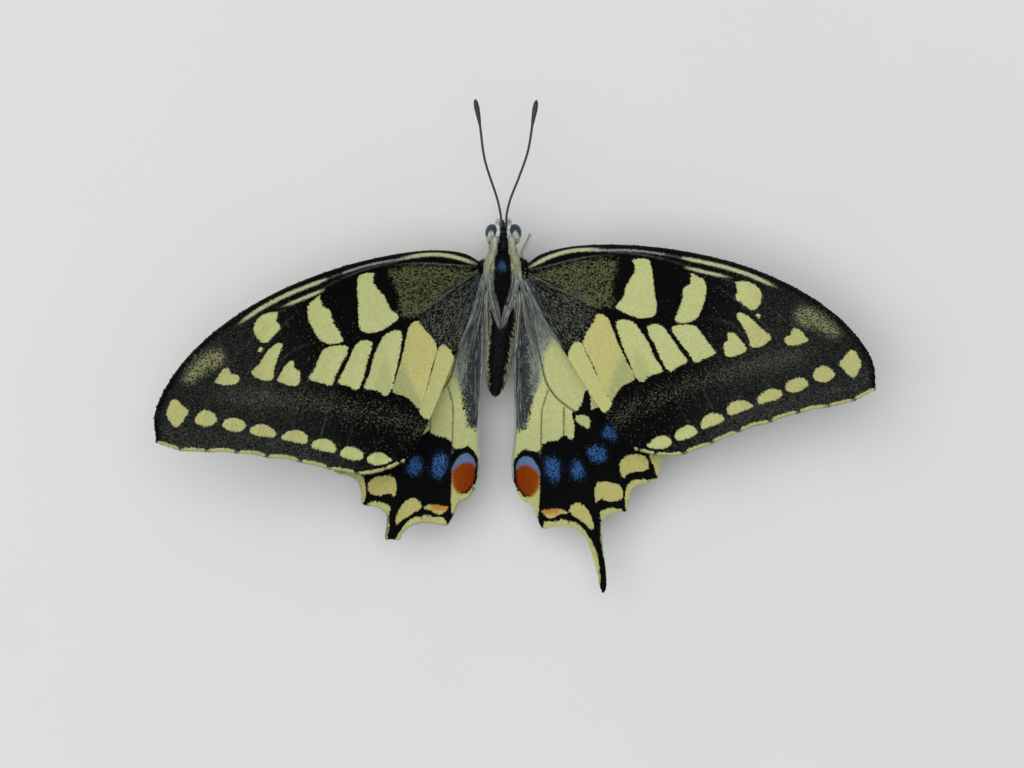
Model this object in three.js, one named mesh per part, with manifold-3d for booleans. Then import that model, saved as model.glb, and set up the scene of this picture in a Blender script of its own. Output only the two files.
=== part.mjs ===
// Old World swallowtail butterfly, life size, wings spread, standing on its six feet.
// Millimetres: +X to the insect's right, +Y to its head, +Z up.  The floor is z = 0.
import * as THREE from "three";
import { mergeVertices } from "three/addons/utils/BufferGeometryUtils.js";
import Module from "manifold-3d";

const wasm = await Module();
wasm.setup();

// ---- driving dimensions ----
const wingThickness = 0.5;
const seam = 0.3;

const body = { axisHeight: 6.5, headHeight: 6.8 };
const head = { y: 3.55, halfWidth: 1.35, halfLength: 1.15, halfHeight: 1.45 };
const eye = { x: 1.25, y: 3.7, z: 6.9, halfWidth: 0.75, halfLength: 0.95, halfHeight: 1.05 };
const eyeSocket = 0.2;
const palp = { x: 0.55, y: 4.85, z: 5.9, halfWidth: 0.38, halfLength: 0.6, halfHeight: 0.85 };
const proboscis = { y: 4.55, z: 4.0, coilRadius: 0.7, tubeRadius: 0.25 };
const thorax = { front: 2.0, rear: -5.2, halfWidth: 2.42, halfHeight: 2.73 };
const abdomen = { front: -5.5, rear: -14.1, halfWidth: 1.4, halfHeight: 1.45, sideways: -0.95, droop: 1.6 };
const antenna = { shaftRadius: 0.25, clubRadius: 0.34, clubShare: 0.17 };
const legRadius = { femur: 0.32, tibia: 0.28, tarsus: 0.27 };
const legGap = 0.12;
const footStart = 0.35;
const toeHeight = 0.245;

// Each wing hinges at its base point, then sweeps back, rises outward and pitches nose-up (degrees).
const wingPose = {
  forewing_R: { base: [2.5, 0, 8.2], side: 1, sweep: 19.35, rise: 4, pitch: 4 },
  forewing_L: { base: [-2.65, 0.43, 8.2], side: -1, sweep: 29.35, rise: 9.5, pitch: 4 },
  hindwing_R: { base: [2.08, -2.12, 7.2], side: 1, sweep: 0, rise: 0, pitch: 3 },
  hindwing_L: { base: [-2.76, -1.85, 7.2], side: -1, sweep: -2.5, rise: 5, pitch: 3 },
};

// Forewing in its own plane: x along the wing from its base to the apex, y forward.
const forewing = {
  costa: [[-0.05, 0.1], [0.8, 1.5], [3.2, 3.3], [7.5, 5.2], [15, 7.2], [23.5, 8], [31, 7.1], [36, 5.2],
    [39.3, 2.7], [40.6, 0]],
  outer: [[40.6, 0], [39.5, -1.2], [38.7, -2], [37.3, -2.9], [36.2, -3.6], [34.8, -4.3], [33.4, -5.3],
    [32, -6.2], [30.8, -7.3], [29.3, -8.2], [27.9, -9.5], [26.6, -10.6], [25.5, -11.7], [24.2, -12.7],
    [22.9, -13.8], [20.5, -14.7], [18, -15]],
  inner: [[0.45, -1.7], [3.9, -5.1], [7.3, -7.6], [12.8, -12], [16, -14.2], [18, -15]],
  stepsAlong: 13,
  length: 40.6,
  arch: 0.9,
  trailingDroop: 0.0035,
};

// Hindwing in its own plane: x outward, y forward; its outer edge ends in the root of the tail.
const hindwing = {
  costa: [[0.45, 0.9], [3, 1.6], [7.5, 0.2], [12, -4], [15.5, -9], [17, -14]],
  outer: [[17, -14], [17.3, -15.6], [16.8, -17.2], [16.1, -18.7], [15.3, -19.5], [15.1, -20.9],
    [14.6, -21.5], [13.1, -21.8], [12.2, -22.4], [11.8, -23.4], [11.6, -24.8], [10.3, -25],
    [9.3, -25.4], [8.8, -26.2], [8.9, -28.6], [7.4, -28.6], [7.1, -27.8], [6.2, -27], [5, -26.6],
    [3.6, -26.6], [2.3, -26.8], [1.7, -25.7], [1, -24.1], [0.1, -23.7], [-0.6, -22.6]],
  inner: [[0.35, -2.2], [-0.4, -4.6], [-0.7, -7.5], [-0.7, -12], [-0.65, -15.6], [-1, -18.5],
    [-1.15, -20.6], [-0.6, -22.6]],
  stepsAlong: 9,
  foldStart: 1.2,
  foldDepth: 0.08,
};

// The tail carries on from the hindwing's tail root; only the right one is whole.
const tail = {
  innerEdge: [[7.5, -28.9], [8, -30.5], [8.4, -32.2], [8.75, -33.7]],
  outerEdge: [[8.9, -28.9], [9.1, -30.3], [9.4, -32], [9.15, -33.7]],
};

// Leg joints from hip to toe, on the right side.
const legJoints = {
  front: [[0.9, 1.3, 4.0], [2.3, 0.5, 3.4], [2.0, 1.9, 1.1], [2.9, 3.8, toeHeight]],
  middle: [[1.2, -1.0, 3.4], [4.8, 0.2, 4.8], [7.2, -1.0, 1.2], [9.6, -2.4, toeHeight]],
  hind: [[1.2, -3.4, 3.5], [4.6, -6.4, 5.1], [6.0, -10.6, 1.4], [7.0, -15.2, toeHeight]],
};
const leftFrontLeg = [[0.9, 1.3, 4.0], [2.2, 0.4, 3.4], [1.5, 1.5, 1.1], [1.7, 3.3, toeHeight]];

// Antenna centre lines, from the brow to the tip of the club.
const antennaPath = {
  R: [[0.45, 4.85, 7.7], [0.75, 7.0, 8.2], [1.7, 9.8, 8.7], [2.7, 12.7, 9.1], [3.25, 16.0, 9.4],
    [3.65, 18.3, 9.4]],
  L: [[-0.45, 4.85, 7.7], [-0.7, 7.4, 8.2], [-2.05, 11.8, 8.9], [-2.6, 15.7, 9.3], [-3.1, 18.4, 9.4]],
};

const colour = { black: 0x14161a, yellow: 0xb9be7d, eye: 0x20242c, pale: 0xb8b8a0 };

// ---- shape helpers ----
const vector = ([x, y, z = 0]) => new THREE.Vector3(x, y, z);
const curveThrough = (points) => new THREE.CatmullRomCurve3(points.map(vector), false, "centripetal");

// Moves every vertex of a closed geometry by a function, and keeps its faces pointing out.
function reshape(geometry, move, mirrored = false) {
  geometry.deleteAttribute("normal");
  geometry.deleteAttribute("uv");
  const shaped = mergeVertices(geometry, 1e-5);
  const position = shaped.getAttribute("position");
  for (let i = 0; i < position.count; i += 1) {
    const moved = move(new THREE.Vector3().fromBufferAttribute(position, i));
    position.setXYZ(i, moved.x, moved.y, moved.z);
  }
  if (mirrored) {
    const index = shaped.getIndex();
    for (let i = 0; i < index.count; i += 3) {
      const first = index.getX(i);
      index.setX(i, index.getX(i + 1));
      index.setX(i + 1, first);
    }
  }
  shaped.computeVertexNormals();
  return shaped;
}

// Lays a closed blank, modelled along its own Y axis from -1 to 1, along a curve.  `across` is a
// direction roughly square to the curve, and size(t) gives the half width and half height.
function layAlong(blank, curve, size, across) {
  return reshape(blank, (vertex) => {
    const t = THREE.MathUtils.clamp((vertex.y + 1) / 2, 0, 1);
    const along = curve.getTangent(t);
    const wide = across.clone().addScaledVector(along, -across.dot(along)).normalize();
    const high = wide.clone().cross(along);
    const [halfWidth, halfHeight] = size(t);
    return curve.getPoint(t)
      .addScaledVector(wide, vertex.x * halfWidth)
      .addScaledVector(high, vertex.z * halfHeight);
  });
}

const egg = (sides, steps) => new THREE.SphereGeometry(1, sides, steps);
const drum = (sides, steps) => new THREE.CylinderGeometry(1, 1, 2, sides, steps);

// A bar of even radius with round ends, along a curve.  With eight sides, a flat one faces down.
function roundBar(curve, radius, across, sides = 7, steps = 2) {
  const length = curve.getLength();
  const capsule = new THREE.CapsuleGeometry(radius, length - 2 * radius, 2, sides, steps);
  capsule.rotateY(Math.PI / sides);
  capsule.scale(1 / radius, 2 / length, 1 / radius);
  return layAlong(capsule, curve, () => [radius, radius], across);
}

// A smooth function through [t, value] pairs.
function profile(pairs) {
  const times = Float32Array.from(pairs, (pair) => pair[0]);
  const values = Float32Array.from(pairs, (pair) => pair[1]);
  const spline = new THREE.CubicInterpolant(times, values, 1);
  return (t) => spline.evaluate(t)[0];
}

const ellipsoid = (x, y, z, halfWidth, halfLength, halfHeight, sides, steps) => {
  const blank = new THREE.SphereGeometry(1, sides, steps);
  return reshape(blank, (v) => new THREE.Vector3(
    x + v.x * halfWidth,
    y + v.y * halfLength,
    z + v.z * halfHeight,
  ));
};

const toManifold = (geometry) => new wasm.Manifold(new wasm.Mesh({
  numProp: 3,
  vertProperties: Float32Array.from(geometry.getAttribute("position").array),
  triVerts: Uint32Array.from(geometry.getIndex().array),
}));

function cutAway(geometry, ...tools) {
  let solid = toManifold(geometry);
  for (const tool of tools) {
    solid = solid.subtract(toManifold(tool));
  }
  const mesh = solid.getMesh();
  const cut = new THREE.BufferGeometry();
  cut.setAttribute("position", new THREE.BufferAttribute(mesh.vertProperties, 3));
  cut.setIndex(new THREE.BufferAttribute(mesh.triVerts, 1));
  cut.computeVertexNormals();
  return cut;
}

const butterfly = new THREE.Group();

function add(name, geometry, shade, roughness = 0.7) {
  const material = new THREE.MeshStandardMaterial({ color: shade, roughness, metalness: 0 });
  const mesh = new THREE.Mesh(geometry, material);
  mesh.name = name;
  butterfly.add(mesh);
  return mesh;
}

// ---- head, eyes, mouthparts ----
const rightward = new THREE.Vector3(1, 0, 0);

// An ellipsoid from one of the named sets of sizes, enlarged all round by a gap.
function ovalOf(sizes, centre, gap, sides, steps) {
  return ellipsoid(
    ...centre,
    sizes.halfWidth + gap,
    sizes.halfLength + gap,
    sizes.halfHeight + gap,
    sides,
    steps,
  );
}

function buildHead() {
  const headCentre = [0, head.y, body.headHeight];
  const sockets = [-1, 1].map((side) => ovalOf(eye, [side * eye.x, eye.y, eye.z], eyeSocket, 20, 12));
  add("head", cutAway(ovalOf(head, headCentre, 0, 24, 16), ...sockets), colour.black);
  const clearance = ovalOf(head, headCentre, seam, 24, 16);
  for (const [letter, side] of [["L", -1], ["R", 1]]) {
    add(`eye_${letter}`, ovalOf(eye, [side * eye.x, eye.y, eye.z], 0, 16, 10), colour.eye, 0.3);
    const lip = ovalOf(palp, [side * palp.x, palp.y, palp.z], 0, 12, 8);
    add(`palp_${letter}`, cutAway(lip, clearance), colour.pale);
  }
}

function buildProboscis() {
  const coil = new THREE.TorusGeometry(proboscis.coilRadius, proboscis.tubeRadius, 6, 16);
  const upright = (v) => new THREE.Vector3(-v.z, proboscis.y + v.x, proboscis.z + v.y);
  add("proboscis", reshape(coil, upright, true), colour.black);
}

function buildAntennae() {
  const straightUp = new THREE.Vector3(0, 0, 1);
  for (const letter of ["L", "R"]) {
    const path = curveThrough(antennaPath[letter]);
    const clubStart = 1 - antenna.clubShare;
    const gap = 0.01;
    const shaftPath = curveThrough([0, 0.2, 0.4, 0.6, 0.8, 1].map((t) => (
      path.getPointAt(t * (clubStart - gap)).toArray()
    )));
    const clubPath = curveThrough([0, 0.5, 1].map((t) => (
      path.getPointAt(clubStart + gap + t * (1 - clubStart - gap)).toArray()
    )));
    const across = straightUp.clone().cross(path.getTangent(0.5)).negate();
    const thin = antenna.shaftRadius;
    const club = profile([[0, 0.6], [0.4, 0.85], [0.75, 1], [1, 0.9]]);
    const clubSize = (t) => [antenna.clubRadius * club(t), antenna.clubRadius * club(t)];
    const shaft = layAlong(drum(8, 14), shaftPath, () => [thin, thin], across);
    add(`antenna_shaft_${letter}`, shaft, colour.black);
    add(`antenna_club_${letter}`, layAlong(egg(8, 8), clubPath, clubSize, across), colour.black);
  }
}

// ---- thorax and abdomen, modelled from rear to front so that t = 1 is the front end ----
function buildThorax() {
  const z = body.axisHeight;
  const spine = new THREE.LineCurve3(vector([0, thorax.rear, z - 0.1]), vector([0, thorax.front, z + 0.25]));
  const width = profile([[0, 0.62], [0.3, 0.93], [0.62, 1], [0.85, 0.92], [1, 0.8]]);
  const height = profile([[0, 0.66], [0.3, 0.92], [0.6, 1], [0.85, 0.95], [1, 0.8]]);
  const size = (t) => [thorax.halfWidth * width(t), thorax.halfHeight * height(t)];
  add("thorax", layAlong(egg(20, 14), spine, size, rightward), colour.black);
}

function abdomenPath() {
  const z = body.axisHeight - 0.1;
  return curveThrough([
    [abdomen.sideways, abdomen.rear, z - abdomen.droop],
    [abdomen.sideways * 0.72, -11.4, z - abdomen.droop * 0.55],
    [abdomen.sideways * 0.38, -8.2, z - abdomen.droop * 0.15],
    [0, abdomen.front, z],
  ]);
}

function buildAbdomen() {
  const path = abdomenPath();
  const swell = profile([[0, 0.3], [0.12, 0.58], [0.3, 0.84], [0.6, 1], [0.85, 0.97], [1, 0.85]]);
  const lengths = { abdomen_tip: [0, 0.3], abdomen_middle: [0.335, 0.65], abdomen_front: [0.685, 1] };
  for (const [name, [from, to]] of Object.entries(lengths)) {
    const stretch = (t) => from + t * (to - from);
    const points = [0, 0.25, 0.5, 0.75, 1].map((t) => path.getPointAt(stretch(t)).toArray());
    const size = (t) => {
      const fullness = swell(stretch(t));
      return [abdomen.halfWidth * fullness, abdomen.halfHeight * fullness];
    };
    add(name, layAlong(drum(18, 4), curveThrough(points), size, rightward), colour.yellow);
  }
}

// ---- wings ----
// Heights of the two blades over their own planes: the forewing is arched from base to apex and
// droops behind, and the hindwing folds down along the abdomen.
function forewingHeight(x, y) {
  const along = THREE.MathUtils.clamp(x / forewing.length, 0, 1);
  const arched = forewing.arch * 4 * along * (1 - along);
  return arched - forewing.trailingDroop * Math.min(y, 0) ** 2;
}

function hindwingHeight(x) {
  return -hindwing.foldDepth * Math.max(hindwing.foldStart - x, 0) ** 2;
}

// A wing blade fills the four edges: u runs from the base (0) to the outer margin (1), v from the
// inner margin (0) to the costa (1).  The outer margin is followed point by point.
function bladeSurface({ costa, inner, outer }, height) {
  const front = curveThrough(costa);
  const back = curveThrough(inner);
  const rim = outer.map(vector).reverse();
  const frontBase = front.getPoint(0);
  const backBase = back.getPoint(0);
  const frontTip = front.getPoint(1);
  const backTip = back.getPoint(1);
  return (u, v) => {
    const rimPoint = rim[Math.round(v * (rim.length - 1))];
    const point = back.getPointAt(u).multiplyScalar(1 - v);
    point.addScaledVector(front.getPointAt(u), v);
    point.addScaledVector(backBase.clone().lerp(frontBase, v), 1 - u);
    point.addScaledVector(rimPoint, u);
    point.addScaledVector(backBase, -(1 - u) * (1 - v));
    point.addScaledVector(frontBase, -(1 - u) * v);
    point.addScaledVector(backTip, -u * (1 - v));
    point.addScaledVector(frontTip, -u * v);
    return new THREE.Vector3(point.x, point.y, height(point.x, point.y));
  };
}

function plate(surface, side, stepsAlong, stepsAcross) {
  const blank = new THREE.BoxGeometry(1, 1, 1, stepsAlong, stepsAcross, 1);
  return reshape(blank, (vertex) => {
    const point = surface(vertex.x + 0.5, vertex.y + 0.5);
    return new THREE.Vector3(side * point.x, point.y, point.z + vertex.z * wingThickness);
  }, side < 0);
}

function hinge(mesh, { base, side, sweep, rise, pitch }) {
  const turn = THREE.MathUtils.degToRad;
  mesh.position.set(...base);
  mesh.rotation.set(turn(pitch), turn(-side * rise), turn(-side * sweep), "ZYX");
}

function buildWings() {
  for (const [name, pose] of Object.entries(wingPose)) {
    const [shape, height] = name.startsWith("forewing")
      ? [forewing, forewingHeight]
      : [hindwing, hindwingHeight];
    const surface = bladeSurface(shape, height);
    const blade = plate(surface, pose.side, shape.stepsAlong, shape.outer.length - 1);
    hinge(add(name, blade, colour.yellow), pose);
  }
  const innerEdge = curveThrough(tail.innerEdge);
  const outerEdge = curveThrough(tail.outerEdge);
  const strip = (u, v) => innerEdge.getPointAt(u).lerp(outerEdge.getPointAt(u), v);
  hinge(add("tail_R", plate(strip, 1, 9, 2), colour.black), wingPose.hindwing_R);
}

// ---- legs ----
// The last part of each tarsus lies on the floor, and its underside is flat there.
function buildLeg(pair, letter, joints) {
  const side = letter === "R" ? 1 : -1;
  const [hip, knee, ankle, toe] = joints.map(([x, y, z]) => new THREE.Vector3(side * x, y, z));
  const outward = toe.clone().sub(hip).setZ(0).normalize();
  const across = outward.cross(new THREE.Vector3(0, 0, 1));
  const segment = (name, from, to, radius, startGap, endGap) => {
    const reach = to.clone().sub(from).normalize();
    const start = from.clone().addScaledVector(reach, startGap);
    const end = to.clone().addScaledVector(reach, -endGap);
    const limb = roundBar(new THREE.LineCurve3(start, end), radius, across);
    add(`leg_${pair}_${letter}_${name}`, limb, colour.pale);
  };
  segment("femur", hip, knee, legRadius.femur, 0, legGap);
  segment("tibia", knee, ankle, legRadius.tibia, legGap, 0);
  const down = ankle.clone().lerp(toe, footStart / ankle.distanceTo(toe));
  const landing = ankle.clone().lerp(toe, 0.55).setZ(toe.z);
  const foot = curveThrough([down.toArray(), landing.toArray(), toe.toArray()]);
  const tarsus = roundBar(foot, legRadius.tarsus, across, 8, 6);
  const grounded = reshape(tarsus, (vertex) => vertex.setZ(Math.max(vertex.z, 0)));
  add(`leg_${pair}_${letter}_tarsus`, grounded, colour.black);
}

buildHead();
buildProboscis();
buildAntennae();
buildThorax();
buildAbdomen();
buildWings();
for (const [pair, joints] of Object.entries(legJoints)) {
  buildLeg(pair, "R", joints);
  buildLeg(pair, "L", pair === "front" ? leftFrontLeg : joints);
}

// The origin is the middle of the footprint of the whole insect, on the floor.
const extent = new THREE.Box3().setFromObject(butterfly, true);
const middle = extent.getCenter(new THREE.Vector3());
for (const mesh of butterfly.children) {
  mesh.position.x -= middle.x;
  mesh.position.y -= middle.y;
}

export default butterfly;
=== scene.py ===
import functools
import math

import bpy
import numpy as np
from mathutils import Matrix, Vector
from mathutils.bvhtree import BVHTree


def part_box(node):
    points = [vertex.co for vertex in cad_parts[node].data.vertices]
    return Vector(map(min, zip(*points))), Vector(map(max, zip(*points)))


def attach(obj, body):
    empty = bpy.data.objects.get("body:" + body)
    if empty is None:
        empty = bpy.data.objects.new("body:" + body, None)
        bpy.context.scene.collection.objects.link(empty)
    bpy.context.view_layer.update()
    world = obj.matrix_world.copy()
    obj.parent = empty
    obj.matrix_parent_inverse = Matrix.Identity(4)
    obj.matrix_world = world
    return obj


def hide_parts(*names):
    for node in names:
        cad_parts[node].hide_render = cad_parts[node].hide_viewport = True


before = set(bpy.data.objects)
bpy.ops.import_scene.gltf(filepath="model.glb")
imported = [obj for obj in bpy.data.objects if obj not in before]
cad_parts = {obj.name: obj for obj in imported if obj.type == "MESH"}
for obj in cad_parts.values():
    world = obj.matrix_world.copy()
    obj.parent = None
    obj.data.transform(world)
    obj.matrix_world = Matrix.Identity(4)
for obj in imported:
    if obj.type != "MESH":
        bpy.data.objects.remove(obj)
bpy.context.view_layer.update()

# ---- body skin ----
# The hard skin of head, thorax and abdomen is one shell of dark cuticle under hair and scales.  It
# grows as one skin, so its trunk is fused here from overlapping rounded forms.  The legs are jointed
# tubes of the same cuticle, rooted in the thorax.
THORAX_REAR = -5.2
thorax_low, thorax_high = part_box("thorax")
home = np.array([(thorax_low.x + thorax_high.x) / 2, thorax_low.y - THORAX_REAR / 1000, 0.0])
SIDES = {"L": -1, "R": 1}


def in_frame(points):
    """Body millimetres, counted from the floor below the thorax, to frame metres."""
    return np.asarray(points, float) / 1000 + home


def mirrored(points, side):
    """Points of the right half, or the same on the left."""
    return np.asarray(points, float) * (side, 1, 1)


def profile(at, *knots):
    """A value that runs straight from knot to knot, each knot a pair of place and value."""
    return np.interp(at, *zip(*knots))


def catmull(points, steps, closed=False):
    """A smooth curve through points, with `steps` samples for each span."""
    p = np.asarray(points, float)
    if closed:
        p = np.vstack([p[-1], p, p[0], p[1]])
    else:
        p = np.vstack([2 * p[0] - p[1], p, 2 * p[-1] - p[-2]])
    t = np.linspace(0, 1, steps, endpoint=False)[:, None]
    out = []
    for a, b, c, d in zip(p, p[1:], p[2:], p[3:]):
        da, db, dc = (max(np.linalg.norm(v) ** 0.5, 1e-4) for v in (b - a, c - b, d - c))
        start = ((b - a) / da - (c - a) / (da + db) + (c - b) / db) * db
        end = ((c - b) / db - (d - b) / (db + dc) + (d - c) / dc) * db
        out.append((2 * t**3 - 3 * t**2 + 1) * b + (t**3 - 2 * t**2 + t) * start
                   + (3 * t**2 - 2 * t**3) * c + (t**3 - t**2) * end)
    return np.vstack(out if closed else out + [p[-2:-1]])


def spaced(line, count):
    """Points at even distances along a line, from its start to its end."""
    gone = np.r_[0, np.cumsum(np.linalg.norm(np.diff(line, axis=0), axis=1))]
    at = np.linspace(0, gone[-1], count)
    return np.stack([np.interp(at, gone, line[:, k]) for k in range(line.shape[1])], axis=1)


def unit(v):
    """Directions of length one."""
    return v / np.maximum(np.linalg.norm(v, axis=-1, keepdims=True), 1e-9)


def loft(spine, widths, heights=None, *, sides, across=(1, 0, 0)):
    """A closed tube along a spine, with its own half width and half height at each point."""
    spine, across = np.asarray(spine, float), np.asarray(across, float)
    along = unit(np.gradient(spine, axis=0))
    wide = unit(across - along * (along @ across)[:, None])
    high = np.cross(wide, along)
    turn = np.linspace(0, 2 * np.pi, sides, endpoint=False)
    heights = widths if heights is None else heights
    widths, heights = widths[:, None, None], heights[:, None, None]
    rings = (spine[:, None] + wide[:, None] * np.cos(turn)[:, None] * widths
             + high[:, None] * np.sin(turn)[:, None] * heights)
    verts = np.vstack([rings.reshape(-1, 3), spine[:1], spine[-1:]])
    faces, last = [], len(spine) * sides
    for i in range(len(spine) - 1):
        for k in range(sides):
            a, b = i * sides + k, i * sides + (k + 1) % sides
            faces += [(a, b, b + sides), (a, b + sides, a + sides)]
    for k in range(sides):
        n = (k + 1) % sides
        faces += [(last, n, k), (last + 1, last - sides + k, last - sides + n)]
    return verts, np.array(faces)


def egg_shape(centre, half, steps=24):
    """An ellipsoid about a centre, ringed along the body."""
    turn = np.linspace(0.02, np.pi - 0.02, steps)
    spine = np.array(centre, float) + np.outer(-np.cos(turn), [0, half[1], 0])
    return loft(spine, half[0] * np.sin(turn), half[2] * np.sin(turn), sides=32)


def ridge(form, side):
    """A rounded form along a bent path, on one side of the head."""
    line = spaced(catmull(mirrored(form["path"], side), 8), form["count"])
    return loft(line, profile(np.linspace(0, 1, form["count"]), *form["radii"]), sides=16)


def joined(shapes):
    """Several meshes, each of points and triangles, as one."""
    starts = np.cumsum([0] + [len(verts) for verts, faces in shapes])
    return (np.vstack([verts for verts, faces in shapes]),
            np.vstack([faces + start for (verts, faces), start in zip(shapes, starts)]))


THORAX = {"front": 1.85, "level": 6.55, "slope": 0.03, "half": (2.0, 2.3), "rings": 40,
          "swell": [(0, 0.1), (0.04, 0.35), (0.15, 0.68), (0.35, 0.93), (0.6, 1), (0.85, 0.85),
                    (0.96, 0.5), (1, 0.15)]}
ABDOMEN = {"path": [(-0.95, -14.1, 4.8), (-0.68, -11.4, 5.52), (-0.36, -8.2, 6.16), (0, -5.5, 6.4),
                    (0, -4.0, 6.45)],
           "half": 1.3, "segments": 8.5, "rings": 90,
           "swell": [(0, 0.12), (0.03, 0.28), (0.1, 0.5), (0.27, 0.8), (0.52, 0.97), (0.75, 0.95),
                     (1, 0.8)]}
HEAD = (0, 3.55, 6.8)
MIDDLE_FORMS = {
    "head": (HEAD, (1.2, 1.0, 1.28)),
    "neck": ((0, 2.3, 6.8), (1.05, 1.1, 1.05)),
    "crown": ((0, 4.35, 7.25), (0.42, 0.45, 0.4)),
    "face": ((0, 4.1, 6.4), (0.78, 0.72, 0.95)),
}
SHOULDER_FORMS = {
    "shoulder": ((1.6, 0.0, 7.75), (0.5, 1.1, 0.5)),
    "collar": ((0.98, 1.95, 7.25), (0.38, 1.15, 0.65)),
    "forewing_root": ((2.1, 0.25, 7.85), (0.6, 0.65, 0.3)),
    "hindwing_root": ((1.95, -1.9, 7.1), (0.5, 0.8, 0.35)),
}
BROW = {"path": [(1.17, 4.36, 7.5), (1.27, 3.95, 7.68), (1.34, 3.4, 7.68), (1.36, 2.8, 7.3)],
        "radii": [(0, 0.08), (0.3, 0.26), (0.65, 0.41), (0.85, 0.42), (1, 0.25)], "count": 20}
CHEEK = ((0.6, 4.4, 7.2), (0.24, 0.45, 0.42))
PALP = {"path": [(0.36, 3.9, 5.85), (0.45, 4.4, 5.42), (0.54, 4.88, 5.6), (0.56, 5.08, 6.15),
                 (0.48, 5.1, 6.65)],
        "radii": [(0, 0.2), (0.2, 0.27), (0.55, 0.26), (0.8, 0.2), (1, 0.06)], "count": 24}
HIPS = [(0.95, 1.1, 4.6), (0.95, -0.9, 4.2), (0.95, -3.1, 4.4)]
HIP_HALF = (0.55, 0.6, 0.85)

spine_y = np.linspace(THORAX_REAR + 0.35, THORAX["front"], THORAX["rings"])
thorax_line = np.stack([0 * spine_y, spine_y, THORAX["level"] + THORAX["slope"] * spine_y], axis=1)
thorax_swell = profile(np.linspace(0, 1, THORAX["rings"]), *THORAX["swell"])
abdomen_line = spaced(catmull(ABDOMEN["path"], 12), ABDOMEN["rings"])
share = np.linspace(0, 1, ABDOMEN["rings"])
ringed = 1 - 0.035 * np.abs(np.sin(share * ABDOMEN["segments"] * np.pi)) ** 8
abdomen_swell = profile(share, *ABDOMEN["swell"]) * ringed
trunk = [
    loft(thorax_line, THORAX["half"][0] * thorax_swell, THORAX["half"][1] * thorax_swell, sides=40),
    loft(abdomen_line, ABDOMEN["half"] * abdomen_swell, sides=32),
]
trunk += [egg_shape(centre, half) for centre, half in MIDDLE_FORMS.values()]
for side in SIDES.values():
    trunk += [egg_shape(mirrored(centre, side), half) for centre, half in SHOULDER_FORMS.values()]
    trunk.append(ridge(BROW, side))
    trunk.append(egg_shape(mirrored(CHEEK[0], side), CHEEK[1]))
    trunk.append(ridge(PALP, side))
    trunk += [egg_shape(mirrored(hip, side), HIP_HALF) for hip in HIPS]


def smoothstep(low, high, x):
    """0 before `low` and 1 after `high`, with a soft change between them."""
    t = np.clip((x - low) / (high - low), 0, 1)
    return t * t * (3 - 2 * t)


def axis_at(y):
    """How far to the side, and how high, the body's long axis lies at each place along it."""
    bend = np.interp(y, abdomen_line[:, 1], abdomen_line[:, 0])
    level = np.interp(y, np.r_[abdomen_line[:, 1], 6], np.r_[abdomen_line[:, 2], HEAD[2]])
    return bend, level


BLACK_STRIPE = [(-14, 0.36), (-12, 0.62), (-10, 0.82), (-6.5, 0.88), (-4.5, 0.98), (-1, 0.92),
                (0.5, 0.84), (2, 0.62), (3, 0.48), (3.7, 0.38), (5, 0.34)]
CREAM_LIMIT = [(-5.3, 9), (-5.2, 1.5), (-3.5, 1.42), (-1.5, 1.52), (-0.5, 1.9), (0.6, 2.0), (1.3, 1.5),
               (2.2, 1.38), (2.8, 1.5), (3.0, 9)]
TOOTH = 0.56
# Where the painted bluish highlight lies on top of the thorax.
THORAX_HIGHLIGHT = {"centre": (-0.1, 0.24), "half": (0.56, 0.66)}


def body_marks(p):
    """How cream, grey or blue the body is at each point: a black stripe down the back with toothed
    edges, cream sides with a black line, grey shoulders, and blue where a highlight is painted on the thorax."""
    x, y, z = p.T
    bend, level = axis_at(y)
    off = np.abs(x - bend + 0.08 * smoothstep(-6, -4, y) * smoothstep(3, 2, y))
    teeth = 0.17 * np.abs(2 * ((y / TOOTH) % 1) - 1) * smoothstep(-5, -6, y)
    black = profile(y, *BLACK_STRIPE) + teeth
    limit = profile(y, *CREAM_LIMIT)
    upper = z > level - 0.6
    cream_side = smoothstep(limit + 0.1, limit - 0.12, off) * smoothstep(-13.6, -11.6, y)
    side = smoothstep(black - 0.08, black + 0.12, off) * np.where(upper, cream_side, 1)
    flank_line = (np.abs(z - level + 0.4) < 0.2) & (y < -1)
    eye_line = (y > 3.3) & (np.abs(off - 0.98) < 0.07) & (z > HEAD[2])
    below = z < level - 0.6
    pale = np.where(below, 0.85, side * np.where(flank_line, 0.1, 1.0)) * np.where(eye_line, 0.05, 1)
    shoulders = smoothstep(0.2, -2.0, y) * smoothstep(-5.8, -4.8, y) * (z > level)
    pale = pale * np.where(upper, 1 - 0.5 * smoothstep(-5.2, -6.2, y), 1) * (1 - 0.3 * shoulders)
    whitish = np.maximum(shoulders, smoothstep(2.3, 3.4, y) * np.where(off > 1.02, 0.85, 1.0))
    # The blue on top of the thorax is a painted highlight.
    (spot_x, spot_y), (spot_wide, spot_long) = THORAX_HIGHLIGHT["centre"], THORAX_HIGHLIGHT["half"]
    blue = smoothstep(1.05, 0.25, np.hypot((x - spot_x) / spot_wide, (y - spot_y) / spot_long))
    blue = blue * (z > level)
    return {"cream": pale * (1 - whitish) * (1 - blue), "grey": pale * whitish * (1 - blue), "blue": blue}


class Wire:
    """One shader value.  Arithmetic on it adds Math nodes."""

    def __init__(self, tree, socket):
        self.tree, self.socket = tree, socket

    def math(self, operation, *values):
        return node(self.tree, "ShaderNodeMath", {"operation": operation}, dict(enumerate(values)))

    def __add__(self, other):
        return self.math("ADD", self, other)

    def __mul__(self, other):
        return self.math("MULTIPLY", self, other)

    def __rsub__(self, other):
        return self.math("SUBTRACT", other, self)

    __radd__, __rmul__ = __add__, __mul__


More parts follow.
